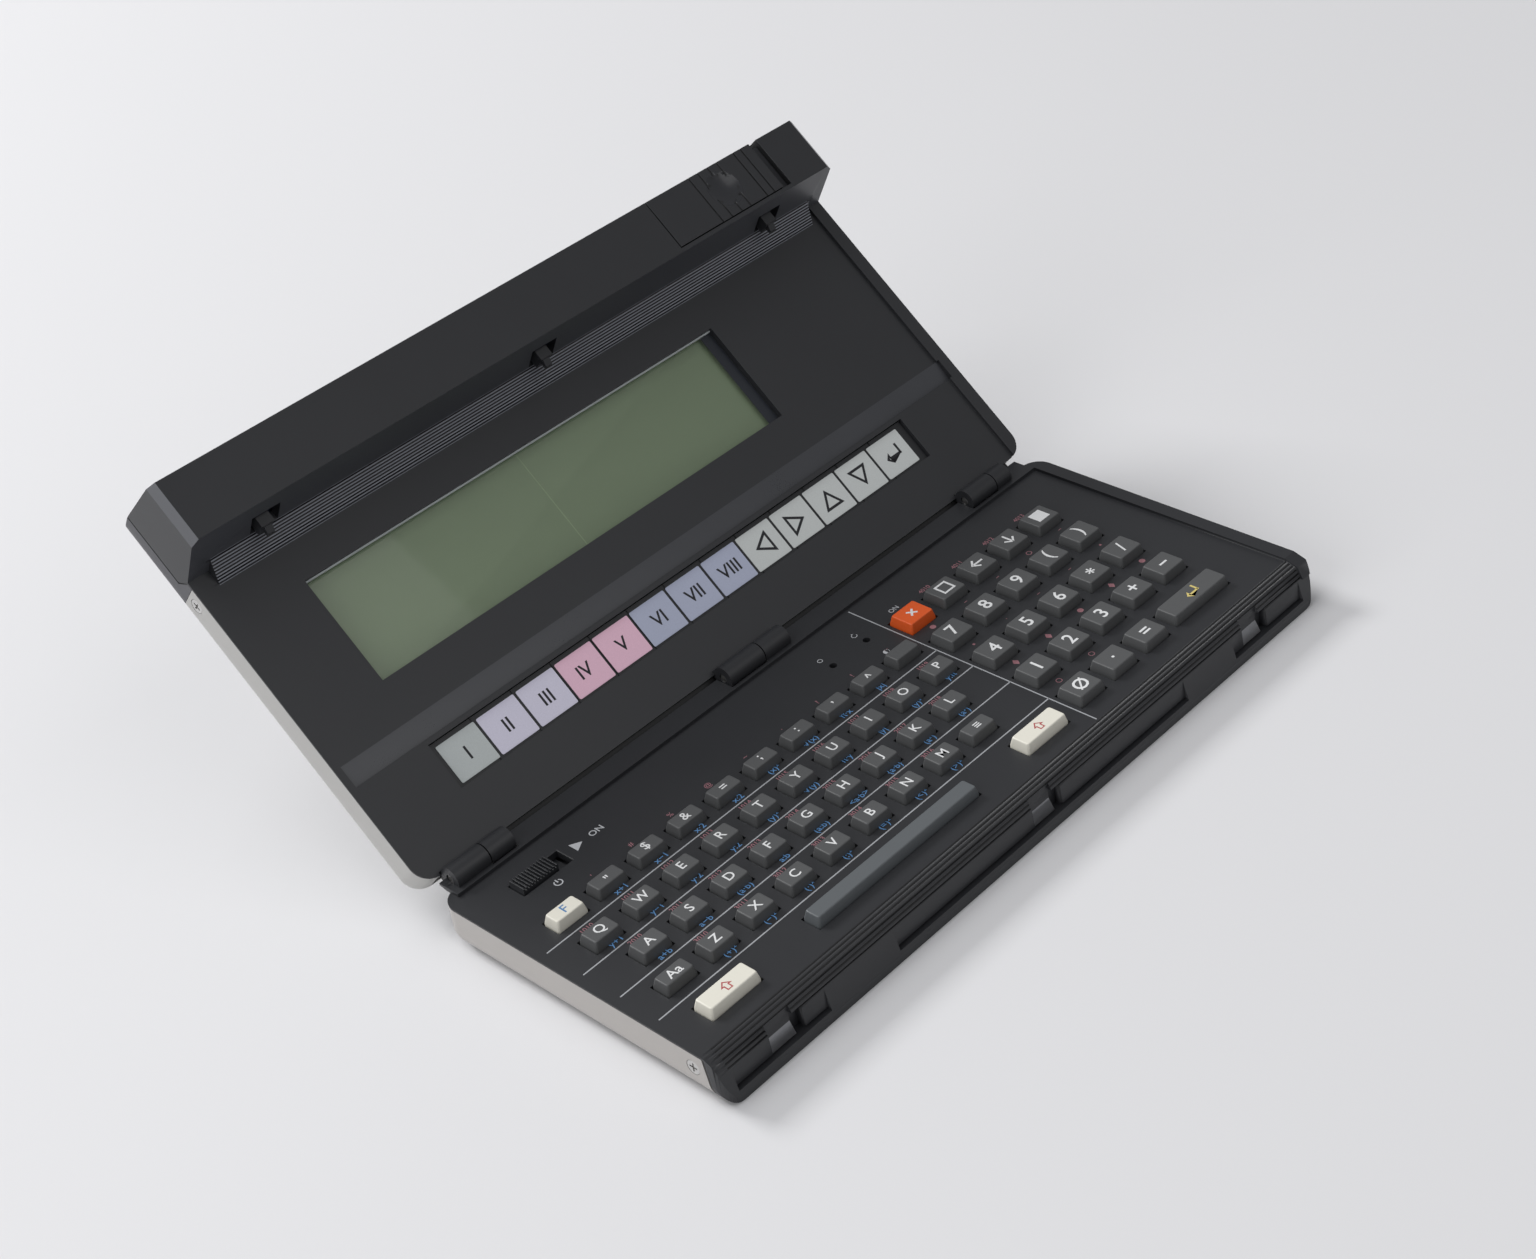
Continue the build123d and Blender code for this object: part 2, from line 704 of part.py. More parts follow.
def bevel_ridge_ends():
    """Bevels along both end edges of the ridge top."""
    start = lid_face.from_local_coords(Vector(0, foot_v - 4, ridge_top))
    across = Plane(origin=start, x_dir=(1, 0, 0), z_dir=lid_side.x_dir)
    for side in (-1, 1):
        edge = side * width / 2
        with BuildSketch(across) as corner:
            with BuildLine():
                Polyline((edge, -1), (edge, end_bevel), (edge - side * end_bevel, 0),
                         (edge - side * end_bevel, -1), close=True)
            make_face()
        extrude(corner.sketch, amount=ridge_reach - foot_v + 8, mode=Mode.SUBTRACT)


def housing_section():
    """Side profile of the ridge housing: front wall, floor and back wall."""
    top = part_w - seat
    front = lid_split + seat
    floor = floor_w + wall_t
    return ((front, floor_w), (heel_v, floor_w), (ridge_reach, top), (ridge_reach - wall_t, top),
            (heel_v - wall_t, floor), (front + wall_t, floor), (front + wall_t, -plate_t - 0.4),
            (front, -plate_t - 0.4))


def housing_end():
    """Side profile of the housing's end walls."""
    top = part_w - seat
    front = lid_split + seat
    return ((front, floor_w), (heel_v, floor_w), (ridge_reach, top), (foot_v + 1.8, top),
            (foot_v, -skin_t - seat), (front, -skin_t - seat))


def bay_end():
    """Side profile of the walls at both ends of the battery bay."""
    front = lid_split + seat
    low = floor_w + wall_t - 0.2
    return ((front + 1, low), (heel_v - 1, low), (heel_v - 1, part_w - 0.4),
            (back_v - wall_t - 0.4, part_w - 0.4), (back_v - wall_t - 0.4, bay_top),
            (brow_v, bay_top), (brow_v, -plate_t - 0.6), (front + 1, -plate_t - 0.6))


def heel_at(w):
    """Distance of the housing's back face from the axis at a height over the panel."""
    return heel_v + (ridge_reach - heel_v) * (w - floor_w) / (part_w - floor_w)


def door_section(gap):
    """Side profile of the battery door, grown by a gap on all sides."""
    top = door_lip + gap
    inner = floor_w + door_t + gap
    thick = wall_t + gap
    return ((door_v - gap, floor_w - gap), (heel_at(floor_w - gap) + gap, floor_w - gap),
            (heel_at(top) + gap, top), (heel_at(top) - thick, top), (heel_at(inner) - thick, inner),
            (door_v - gap, inner))


def make_housing():
    """Dark lower housing of the ridge with end walls, bay walls and the door opening."""
    body = envelope(lid_face, 1, lid_edge, 0, ridge_reach + 4, 0)
    ledge_w = floor_w + door_t + play
    with BuildPart() as ridge_housing:
        lid_prism(housing_section(), 1.0, width - 1.0)
        for x in (0, width - end_t):
            lid_prism(housing_end(), x, x + end_t)
        for x, inward in ((bay_x[0], 1), (bay_x[1], -1)):
            lid_prism(bay_end(), *sorted((x, x - inward * bay_wall)))
            lip = sorted((x - inward * 0.2, x + inward * ledge_reach))
            lid_slab(lip, (door_v, heel_v - wall_t - 1.5), (ledge_w, ledge_w + 0.8))
        add(body, mode=Mode.INTERSECT)
        lid_prism(door_section(play), *bay_x, Mode.SUBTRACT)
    save(ridge_housing, "ridge_housing")


def make_door():
    """Battery door: flat plate with an upturned back edge and finger ribs."""
    middle = (bay_x[0] + bay_x[1]) / 2
    with BuildPart() as battery_door:
        lid_prism(door_section(0), bay_x[0] + play, bay_x[1] - play)
        for i in range(5):
            v = door_v + 3 + i * 1.6
            lid_slab((middle - 9, middle + 9), (v, v + 0.7), (floor_w - 1, floor_w + 0.4),
                     Mode.SUBTRACT)
    save(battery_door, "battery_door")


def make_cells():
    """Round battery cells in one row along the ridge."""
    with BuildPart() as battery_cells:
        for i in range(cell_count):
            start = cell_start + i * cell_len
            side_disc(lid_side.offset(at(start)), cell_at, cell_len - 0.1, cell_r, sides=fine_sides)
    save(battery_cells, "battery_cells")


def make_contacts():
    """Contact plates at the ends of the battery bay, with a spring and a dimple."""
    v, w = cell_at
    plate = (w - 5.0, w + 4.4)
    end = cell_start + cell_count * cell_len
    with BuildPart() as battery_contacts:
        lid_slab((bay_x[0] + 0.1, bay_x[0] + 0.6), (v - 5, v + 5), plate)
        with BuildSketch(lid_side.offset(at(bay_x[0] + 0.6))) as wide_turn:
            with Locations(cell_at):
                RegularPolygon(3.6, head_sides)
        with BuildSketch(lid_side.offset(at(cell_start - 0.05))) as small_turn:
            with Locations(cell_at):
                RegularPolygon(2.2, head_sides)
        loft([wide_turn.sketch.face(), small_turn.sketch.face()])
        lid_slab((bay_x[1] - 0.6, bay_x[1] - 0.1), (v - 5, v + 5), plate)
        side_disc(lid_side.offset(at(end)), cell_at, bay_x[1] - 0.5 - end, 2.4, sides=head_sides)
    save(battery_contacts, "battery_contacts")


def make_glass():
    """Window pane behind the lid panel."""
    with BuildPart() as window_pane:
        lid_slab((window_x[0] - 1.6, window_x[1] + 1.6), (window_v[0] - 1.6, window_v[1] + 1.6),
                 (-plate_t - 1.1, -plate_t))
    save(window_pane, "window_pane")


def make_display():
    """Display module behind the pane, with its metal frame feet."""
    top = -plate_t - 1.1
    with BuildPart() as display_module:
        lid_slab((window_x[0] - 5, window_x[1] + 5), (window_v[0] - 4, window_v[1] + 4),
                 (top - 2.6, top))
        lid_slab((window_x[0] - 2, window_x[1] + 2), (window_v[0] - 2, window_v[1] + 2),
                 (top - 3.1, top - 2.6))
    save(display_module, "display_module")


def make_strip():
    """Touch key strip seated in its opening, with a flange behind the panel."""
    low = -plate_t
    with BuildPart() as touch_strip:
        lid_slab((strip_x[0] + seat, strip_x[1] - seat), (strip_v[0] + seat, strip_v[1] - seat),
                 (low, -strip_drop))
        lid_slab((strip_x[0] - 1.5, strip_x[1] + 1.5), (strip_v[0] - 1.5, strip_v[1] + 1.2),
                 (low - 0.8, low))
        pitch = (strip_x[1] - strip_x[0]) / touch_count
        for i in range(1, touch_count):
            x = strip_x[0] + pitch * i
            lid_slab((x - 0.2, x + 0.2), strip_v, (-strip_drop - 0.2, 0), Mode.SUBTRACT)
    save(touch_strip, "touch_strip")


def make_lid_board():
    """Circuit board of the lid, behind the display and the touch strip."""
    top = -plate_t - 4.2
    with BuildPart() as lid_board:
        lid_slab(lid_board_x, lid_board_v, (top - board_t, top))
        for x, v in spacer_places:
            lid_slab(*square_at(x, v, peg_half + seat), (top - 3, top + 1), Mode.SUBTRACT)
    save(lid_board, "lid_board")


def make_lid_chips():
    """Display driver packages on the back of the lid board."""
    low = -plate_t - 4.2 - board_t
    with BuildPart() as lid_chips:
        for x in lid_chip_x:
            lid_slab((x - lid_chip[0] / 2, x + lid_chip[0] / 2),
                     (lid_chip_v - lid_chip[1] / 2, lid_chip_v + lid_chip[1] / 2), (low - 1.4, low))
        lid_slab(*power_chip, (low - 1.4, low))
    save(lid_chips, "lid_chips")


def make_spacers():
    """Plastic spacers between the lid moulding, the strip and the lid board."""
    top = -plate_t
    low = -plate_t - 4.2
    with BuildPart() as lid_spacers:
        for x, v in spacer_places:
            lid_slab(*square_at(x, v, post_half), (low, top))
            lid_slab(*square_at(x, v, peg_half), (low - board_t - 0.6, low))
    save(lid_spacers, "lid_spacers")


def make_latch_bar():
    """Bar inside the ridge with three hooks reaching out through the wall slots."""
    low, high = hook_w
    with BuildPart() as latch_bar:
        lid_slab(bar_x, bar_v, bar_w)
        for x in latch_x:
            lid_slab((x - hook_half, x + hook_half), (hook_v, bar_v[0]), hook_w)
            lid_prism(((hook_v, low + 1.3), (tooth_v, low + 1.3), (tooth_v, high - 1.4),
                       (hook_v, high - 0.7)), x - tooth_w / 2, x + tooth_w / 2)
    save(latch_bar, "latch_bar")


def make_latch_slider():
    """Slider on the ridge top: ribs, thumb dimple, tab down to the latch bar."""
    left = slide_x[0] + play
    right = slide_x[1] - play - latch_travel
    floor = slide_floor + play / 2
    with BuildPart() as latch_slider:
        lid_prism(((slide_v + play, floor), (back_v - 1.0, floor),
                   (back_v - 0.55, slide_skirt + play), (back_v + 0.62, slide_skirt + play),
                   (back_v, ridge_top), (slide_v + play, ridge_top)), left, right)
        lid_slab(tab_x, (bar_v[0] + 0.2, bar_v[1] - 0.2), (bar_w[1], floor))
        for x in grip_x:
            lid_slab((x - 0.2, x + 0.2), (slide_v, ridge_reach), (ridge_top - 0.25, ridge_top + 1),
                     Mode.SUBTRACT)
        x, v = dimple_at
        with Locations(lid_face.from_local_coords(Vector(at(x), v, ridge_top + dimple_r - 0.7))):
            Sphere(dimple_r, mode=Mode.SUBTRACT)
    save(latch_slider, "latch_slider")


os.makedirs("parts", exist_ok=True)
make_base_panel()
make_cover("base_cover", tray(base_face, base_prism, base_edge, base_cover_t, base_region(0)),
           base_side, (side_screw_u, side_screw_z))
make_screws("base_side_screws", base_side, (side_screw_u, side_screw_z), base_cover_t)
make_key_mat()
make_main_board()
make_board_chips()
make_shield()
make_power_knob()
make_power_switch()
make_pins()
make_keys()
make_lid_frame()
make_cover("lid_cover", tray(lid_face, lid_prism, lid_edge, lid_cover_t, lid_region(0)),
           lid_side, (lid_screw_v, lid_screw_w))
make_screws("lid_side_screws", lid_side, (lid_screw_v, lid_screw_w), lid_cover_t)
make_housing()
make_door()
make_cells()
make_contacts()
make_glass()
make_display()
make_strip()
make_lid_board()
make_lid_chips()
make_spacers()
make_latch_bar()
make_latch_slider()
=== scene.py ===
"""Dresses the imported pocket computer: mouldings, sheet covers, printed keys, display, touch strip, studio."""
import json
import math

import bmesh
import bpy
from bpy.props import FloatProperty, FloatVectorProperty, PointerProperty
from bpy.types import Operator, Panel, PropertyGroup
from mathutils import Matrix, Vector

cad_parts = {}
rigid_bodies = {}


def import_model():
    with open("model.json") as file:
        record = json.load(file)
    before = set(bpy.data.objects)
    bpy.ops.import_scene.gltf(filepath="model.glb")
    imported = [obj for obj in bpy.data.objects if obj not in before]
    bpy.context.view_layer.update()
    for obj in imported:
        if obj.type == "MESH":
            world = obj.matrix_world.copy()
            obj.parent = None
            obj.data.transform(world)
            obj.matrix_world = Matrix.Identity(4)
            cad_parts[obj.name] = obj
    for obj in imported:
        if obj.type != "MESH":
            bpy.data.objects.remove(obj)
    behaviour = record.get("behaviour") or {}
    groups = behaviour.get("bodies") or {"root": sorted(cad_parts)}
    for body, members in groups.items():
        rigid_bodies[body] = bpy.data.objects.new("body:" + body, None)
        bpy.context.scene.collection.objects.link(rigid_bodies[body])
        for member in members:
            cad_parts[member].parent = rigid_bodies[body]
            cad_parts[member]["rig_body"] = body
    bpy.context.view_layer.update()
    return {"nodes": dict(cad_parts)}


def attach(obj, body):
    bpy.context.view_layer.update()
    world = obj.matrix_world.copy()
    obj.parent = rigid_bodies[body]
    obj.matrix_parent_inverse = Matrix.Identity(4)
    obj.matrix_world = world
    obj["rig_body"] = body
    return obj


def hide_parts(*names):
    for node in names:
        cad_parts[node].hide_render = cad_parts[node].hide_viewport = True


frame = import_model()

bl_info = {
    "name": "Pocket computer dresser",
    "version": (1, 0, 0),
    "blender": (4, 5, 0),
    "location": "View3D > Sidebar > Computer",
    "description": "Soft-edged mouldings, printed keys, display and studio for the packed computer",
    "category": "Object",
}

NODES = frame["nodes"]
MM = 0.001

# the two halves, in millimetres: the lid's angle from flat and the place of the hinge axis
TILT = math.radians(41.4)
PANEL_DROP = 1.6
HALF_WIDTH = 93.5
AXIS_Y = 39.8
AXIS_Z = 12.0

# flat working places of both halves: x from the left, y from the hinge axis away from the user, z over the panel
BASE = Matrix.Translation(Vector((-HALF_WIDTH, AXIS_Y, AXIS_Z - PANEL_DROP)) * MM)
LID = Matrix.Translation(Vector((-HALF_WIDTH, AXIS_Y + PANEL_DROP * math.sin(TILT),
                                 AXIS_Z - PANEL_DROP * math.cos(TILT))) * MM) @ Matrix.Rotation(TILT, 4, "X")

# key places in millimetres: x from the left and distance before the hinge axis
COLUMN = 11.0
FIRST = 11.6
MIDDLE_FIRST = FIRST + 3.2
ROWS = (26.0, 36.05, 46.1, 56.15)
BLOCK_X = 122.1
BLOCK_STEP = 11.1
BLOCK_ROW = 19.0
BLOCK_PITCH = 11.6
LAST_ROW = 66.8
KEY_TOP = 2.2
ROW_LINES = (30.5, 40.7, 50.8, 61.1)

# touch cells in millimetres: both ends of the row, its near and far side, and the height of its face
CELLS_LEFT = 20.3
CELLS_RIGHT = 162.7
CELLS_NEAR = 14.3
CELLS_FAR = 23.5
CELLS_FACE = -0.86
CELL_MARKS = ("I", "II", "III", "IV", "V", "VI", "VII", "VIII", "◁", "▷", "△", "▽", "↵")
CELL_PITCH = (CELLS_RIGHT - CELLS_LEFT) / len(CELL_MARKS)
NUMERALS = 8
NUMERAL_SIZE = 0.0044
ARROW_SIZE = 0.0060

# shapes that the face tests look for: centre line and reach of the rounded nose, slope of the ribbed band
NOSE_CENTRE = (74.28, -3.72)
NOSE_REACH = (3.2, 3.85)
BAND_SLOPE = Vector((0.0, -0.648, 0.762))


def srgb(red, green, blue):
    """Colour as written for a screen, turned into the linear values that Blender keeps."""
    def linear(part):
        part = part / 255
        return part / 12.92 if part <= 0.04045 else ((part + 0.055) / 1.055) ** 2.4
    return (linear(red), linear(green), linear(blue))


def size_prop(label, text, default):
    """Length that a user can change."""
    return FloatProperty(name=label, description=text, default=default, min=0, subtype="DISTANCE", unit="LENGTH",
                         precision=5)


def colour_prop(label, text, default):
    """Colour that a user can change, its default as written for a screen."""
    return FloatVectorProperty(name=label, description=text, default=srgb(*default), size=3, min=0, max=1,
                               subtype="COLOR")


class ComputerSizes(PropertyGroup):
    """Sizes of the dressing, in metres."""
    moulding_edge: size_prop("Moulding edge", "Rounding of the outer edges of the black mouldings", 0.00035)
    key_corner: size_prop("Key corner", "Rounding of a key's upright corners", 0.0005)
    key_edge: size_prop("Key edge", "Rounding round the top of a key", 0.00025)
    letter_size: size_prop("Letter size", "Height of the type on the letter keys", 0.0032)
    digit_size: size_prop("Digit size", "Height of the type on the number keys", 0.0048)
    small_size: size_prop("Small type", "Height of the small marks beside the keys", 0.0024)
    line_width: size_prop("Line width", "Width of the printed lines", 0.0003)
    print_thickness: size_prop("Print thickness", "Height of printed ink over its surface", 0.00001)
    cell_gap: size_prop("Cell gap", "Dark gap between two touch cells", 0.0007)


class ComputerColours(PropertyGroup):
    """Colours of the dressing."""
    moulding: colour_prop("Moulding", "Black plastic of the mouldings", (40, 41, 44))
    key: colour_prop("Key", "Grey of most keys", (82, 83, 84))
    cream: colour_prop("Cream key", "Cream of the shift and function keys", (226, 223, 211))
    orange: colour_prop("Orange key", "Orange of the break key", (226, 92, 34))
    slate: colour_prop("Space bar", "Blue-grey of the space bar", (92, 96, 99))
    base_sheet: colour_prop("Base cover", "Painted sheet round the keyboard half", (184, 180, 176))
    lid_sheet: colour_prop("Lid cover", "Painted sheet on the outside of the lid", (184, 183, 180))
    housing: colour_prop("Ridge housing", "Grey plastic under the ridge", (84, 84, 88))
    ink_white: colour_prop("White ink", "Ink of the letters and lines", (226, 227, 228))
    ink_blue: colour_prop("Blue ink", "Ink of the marks before the keys", (96, 146, 198))
    ink_red: colour_prop("Red ink", "Ink of the marks behind the keys", (150, 104, 112))
    ink_gold: colour_prop("Gold ink", "Ink on the execute key", (214, 196, 120))
    display: colour_prop("Display", "Unlit grey-green of the display", (124, 141, 111))
    floor: colour_prop("Floor", "Pale floor under the computer", (218, 218, 220))


class Flow:
    """One output of a node, used in plain arithmetic."""

    def __init__(self, sheet, socket):
        self.sheet = sheet
        self.socket = socket

    def _math(self, operation, first, second):
        return self.sheet.node("ShaderNodeMath", {"operation": operation}, {0: first, 1: second})

    def __add__(self, other):
        return self._math("ADD", self, other)

    __radd__ = __add__

    def __mul__(self, other):
        return self._math("MULTIPLY", self, other)

    __rmul__ = __mul__


class Finish:
    """Material whose nodes are added one call at a time."""

    def __init__(self, name, rough=0.5, metal=0.0, coat=0.0):
        self.material = bpy.data.materials.new(name)
        self.material.use_nodes = True
        self.tree = self.material.node_tree
        self.shader = self.tree.nodes["Principled BSDF"]
        self.shader.inputs["Roughness"].default_value = rough
        self.shader.inputs["Metallic"].default_value = metal
        self.shader.inputs["Coat Weight"].default_value = coat
        self.place = self.node("ShaderNodeTexCoord", out="Object")

    def node(self, kind, settings=None, sockets=None, out=0):
        """Adds a node: its settings first, then values or links of its sockets."""
        node = self.tree.nodes.new(kind)
        for key, value in (settings or {}).items():
            if key == "stops":
                ramp = node.color_ramp
                for index, (at, colour) in enumerate(value):
                    stop = ramp.elements[index] if index < 2 else ramp.elements.new(at)
                    stop.position = at
                    stop.color = (*colour, 1.0)
            else:
                setattr(node, key, value)
        for key, value in (sockets or {}).items():
            if isinstance(value, Flow):
                self.tree.links.new(value.socket, node.inputs[key])
            else:
                node.inputs[key].default_value = value
        return Flow(self, node.outputs[out])

    def noise(self, scale, detail=2.0, stretch=(1, 1, 1)):
        """Noise from 0 to 1, its grain set by the scale in turns a metre."""
        where = self.node("ShaderNodeMapping", None, {"Vector": self.place, "Scale": stretch})
        return self.node("ShaderNodeTexNoise", None, {"Vector": where, "Scale": scale, "Detail": detail})

    def tint(self, factor, dark, light):
        """Colour between two shades."""
        return self.node("ShaderNodeValToRGB", {"stops": ((0.0, dark), (1.0, light))}, {"Fac": factor})

    def set(self, socket, value):
        """Links a varying value to a socket of the shader, or sets a constant one."""
        if isinstance(value, Flow):
            self.tree.links.new(value.socket, self.shader.inputs[socket])
        else:
            self.shader.inputs[socket].default_value = value

    def bump(self, height, strength, distance):
        """Small relief; the distance is its depth in metres."""
        self.set("Normal", self.node("ShaderNodeBump", None, {"Height": height, "Strength": strength,
                                                              "Distance": distance}))


def shade(colour, factor):
    """Colour made lighter or darker."""
    return tuple(min(1.0, part * factor) for part in colour)


def moulded(name, colour, rough=0.42, grain=5200, depth=0.00002, spread=0.06):
    """Moulded plastic: fine spark-eroded grain, faint tone patches and uneven gloss."""
    finish = Finish(name, rough)
    patches = finish.noise(38, 4)
    fine = finish.noise(grain, 2)
    finish.set("Base Color", finish.tint(patches * 0.7 + fine * 0.3, shade(colour, 1 - spread * 2),
                                         shade(colour, 1 + spread * 2)))
    finish.set("Roughness", patches * 0.12 + fine * 0.08 + (rough - 0.1))
    finish.bump(fine, 0.35, depth)
    return finish.material


def painted_sheet(name, colour):
    """Sheet metal with a satin, faintly metallic paint and fine lengthwise brushing."""
    finish = Finish(name, 0.36, metal=0.25)
    patches = finish.noise(30, 4)
    lines = finish.noise(1500, 3, stretch=(0.04, 1, 1))
    finish.set("Base Color", finish.tint(patches * 0.6 + lines * 0.4, shade(colour, 0.94), shade(colour, 1.05)))
    finish.set("Roughness", lines * 0.14 + patches * 0.08 + 0.27)
    finish.bump(lines, 0.25, 0.00001)
    return finish.material


def bare_metal(name, colour, rough=0.3):
    """Plated steel with fine turning marks."""
    finish = Finish(name, rough, metal=1.0)
    marks = finish.noise(2600, 3, stretch=(1, 0.2, 1))
    finish.set("Base Color", finish.tint(marks, shade(colour, 0.86), shade(colour, 1.1)))
    finish.set("Roughness", marks * 0.16 + (rough - 0.06))
    finish.bump(marks, 0.2, 0.00001)
    return finish.material


def ink(name, colour):
    """Screen-printed ink with a slightly broken, matt surface."""
    finish = Finish(name, 0.55)
    speckle = finish.noise(4200, 2)
    finish.set("Base Color", finish.tint(speckle, shade(colour, 0.88), shade(colour, 1.06)))
    finish.set("Roughness", speckle * 0.15 + 0.48)
    finish.bump(speckle, 0.2, 0.00001)
    return finish.material


def display_face(name, colour):
    """Unlit display: grey-green film with fine mottling, lighter at the left end and darker towards the right."""
    finish = Finish(name, 0.34, coat=0.5)
    split = finish.node("ShaderNodeSeparateXYZ", None, {"Vector": finish.place})
    # lighter at the left end of the display, darker towards the right
    left_to_right = split * 3.2 + 0.45
    film = finish.noise(900, 3)
    finish.set("Base Color", finish.tint(left_to_right + film * 0.08, shade(colour, 1.08), shade(colour, 0.88)))
    finish.set("Roughness", film * 0.12 + 0.28)
    finish.bump(film, 0.1, 0.00001)
    return finish.material


def clear_pane(name):
    """Thin clear plastic pane."""
    finish = Finish(name, 0.08)
    smear = finish.noise(60, 3)
    finish.set("Base Color", (0.30, 0.33, 0.30, 1.0))
    finish.set("Roughness", smear * 0.08 + 0.05)
    finish.set("Alpha", smear * 0.03 + 0.05)
    return finish.material


def circuit_board(name, colour):
    """Green lacquered board with fine tracks."""
    finish = Finish(name, 0.4, coat=0.3)
    tracks = finish.node("ShaderNodeTexWave", {"wave_type": "BANDS"}, {"Vector": finish.place, "Scale": 260.0,
                                                                      "Distortion": 6.0, "Detail": 1.0}, out="Fac")
    fine = finish.noise(1200, 2)
    finish.set("Base Color", finish.tint(tracks * 0.7 + fine * 0.3, shade(colour, 0.8), shade(colour, 1.25)))
    finish.set("Roughness", fine * 0.2 + 0.3)
    finish.bump(tracks, 0.3, 0.00002)
    return finish.material


# ---------------------------------------------------------------- modelling helpers

def choose(*pieces):
    """Selects only these pieces; the last one is active."""
    bpy.ops.object.select_all(action="DESELECT")
    for piece in pieces:
        piece.select_set(True)
        bpy.context.view_layer.objects.active = piece


def apply_place(piece, space):
    """Moves a piece from its flat working place into the model; its object returns to the origin."""
    piece.matrix_world = space @ piece.matrix_world
    choose(piece)
    bpy.ops.object.transform_apply(location=True, rotation=True, scale=True)
    return piece


def paint(piece, space, material, wanted):
    """Gives the faces that pass a test on their centre and normal in the flat place one more material."""
    back = space.inverted()
    piece.data.materials.append(material)
    for face in piece.data.polygons:
        if wanted(back @ face.center / MM, back.to_3x3() @ face.normal):
            face.material_index = len(piece.data.materials) - 1


def dress(piece, material):
    """Gives a whole piece one material."""
    piece.data.materials.clear()
    piece.data.materials.append(material)


def dress_node(node, material):
    """Gives a CAD node that stays another material."""
    for slot in NODES[node].material_slots:
        slot.material = material


def finish_shading(piece):
    """Smooth shading with sharp corners kept and flat faces left flat."""
    choose(piece)
    bpy.ops.object.shade_smooth_by_angle(angle=math.radians(32))
    bpy.ops.object.modifier_add(type="WEIGHTED_NORMAL")
    piece.modifiers[-1].keep_sharp = True
    bpy.ops.object.modifier_apply(modifier=piece.modifiers[-1].name)


def round_edges(piece, space, width, segments, wanted):
    """Bevels the edges that pass a test on their two ends in the flat place, in millimetres."""
    back = space.inverted()
    choose(piece)
    bpy.ops.object.mode_set(mode="EDIT")
    bpy.ops.mesh.select_mode(type="EDGE")
    bpy.ops.mesh.select_all(action="DESELECT")
    mesh = bmesh.from_edit_mesh(piece.data)
    found = False
    for edge in mesh.edges:
        if len(edge.link_faces) == 2 and edge.calc_face_angle() > math.radians(12):
            a, b = (back @ vert.co / MM for vert in edge.verts)
            if wanted(a, b):
                edge.select = found = True
    bmesh.update_edit_mesh(piece.data)
    if found:
        bpy.ops.mesh.bevel(offset=width, segments=segments, affect="EDGES", clamp_overlap=True)
    bpy.ops.object.mode_set(mode="OBJECT")


def soft_copy(node, space, rules, material):
    """Copy of a CAD node with chosen edges rounded; it stands for the node and rides on its body."""
    source = NODES[node]
    piece = bpy.data.objects.new(node + "_soft", source.data.copy())
    bpy.context.scene.collection.objects.link(piece)
    choose(piece)
    bpy.ops.object.mode_set(mode="EDIT")
    bpy.ops.mesh.select_all(action="SELECT")
    bpy.ops.mesh.remove_doubles(threshold=0.000002)
    bpy.ops.mesh.dissolve_limited(angle_limit=math.radians(0.5))
    bpy.ops.object.mode_set(mode="OBJECT")
    for width, segments, wanted in rules:
        round_edges(piece, space, width, segments, wanted)
    finish_shading(piece)
    dress(piece, material)
    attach(piece, source["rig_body"])
    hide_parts(node)
    return piece


def joined(name, pieces):
    """Joins flat pieces into one that keeps the given name."""
    choose(*pieces)
    if len(pieces) > 1:
        bpy.ops.object.join()
    piece = bpy.context.view_layer.objects.active
    piece.name = name
    piece.data.name = name
    return piece


def typed(text, x, y, z, size, weight=0.0):
    """Type standing flat at a place given in millimetres, as a thin mesh."""
    sizes = bpy.context.scene.computer_sizes
    bpy.ops.object.text_add(location=(x * MM, y * MM, z * MM + sizes.print_thickness * 0.4))
    piece = bpy.context.object
    piece.data.body = text
    piece.data.size = size
    piece.data.align_x = "CENTER"
    piece.data.align_y = "CENTER"
    piece.data.resolution_u = 3
    piece.data.offset = weight * size
    piece.data.extrude = sizes.print_thickness
    choose(piece)
    bpy.ops.object.convert(target="MESH")
    bpy.ops.object.transform_apply(location=True, rotation=True, scale=True)
    # the type's own box is centred on the place, whatever its letters
    box = [vert.co for vert in piece.data.vertices]
    middle = Vector(((min(c.x for c in box) + max(c.x for c in box)) / 2 - x * MM,
                     (min(c.y for c in box) + max(c.y for c in box)) / 2 - y * MM, 0))
    piece.data.transform(Matrix.Translation(-middle))
    return piece


def slab(x0, x1, y0, y1, z0, z1, edge=0.08):
    """Thin printed bar or tile between places given in millimetres, its upright corners eased."""
    bpy.ops.object.select_all(action="DESELECT")
    bpy.ops.mesh.primitive_cube_add(size=MM, location=((x0 + x1) / 2 * MM, (y0 + y1) / 2 * MM, (z0 + z1) / 2 * MM))
    piece = bpy.context.object
    piece.scale = (x1 - x0, y1 - y0, z1 - z0)
    bpy.ops.object.transform_apply(location=True, rotation=True, scale=True)
    bpy.ops.object.mode_set(mode="EDIT")
    bpy.ops.mesh.select_all(action="DESELECT")
    mesh = bmesh.from_edit_mesh(piece.data)
    for line in mesh.edges:
        line.select = abs(line.verts[0].co.z - line.verts[1].co.z) > (z1 - z0) * MM * 0.5
    bmesh.update_edit_mesh(piece.data)
    bpy.ops.mesh.bevel(offset=edge * MM, segments=3, affect="EDGES")
    bpy.ops.object.mode_set(mode="OBJECT")
    return piece


def print_on(name, pieces, space, body, material, slot):
    """Joins printed marks, brings them on to their surface and lets them ride with its body."""
    piece = apply_place(joined(name, pieces), space)
    dress(piece, material)
    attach(piece, body)
    return piece


# ---------------------------------------------------------------- keys and their marks

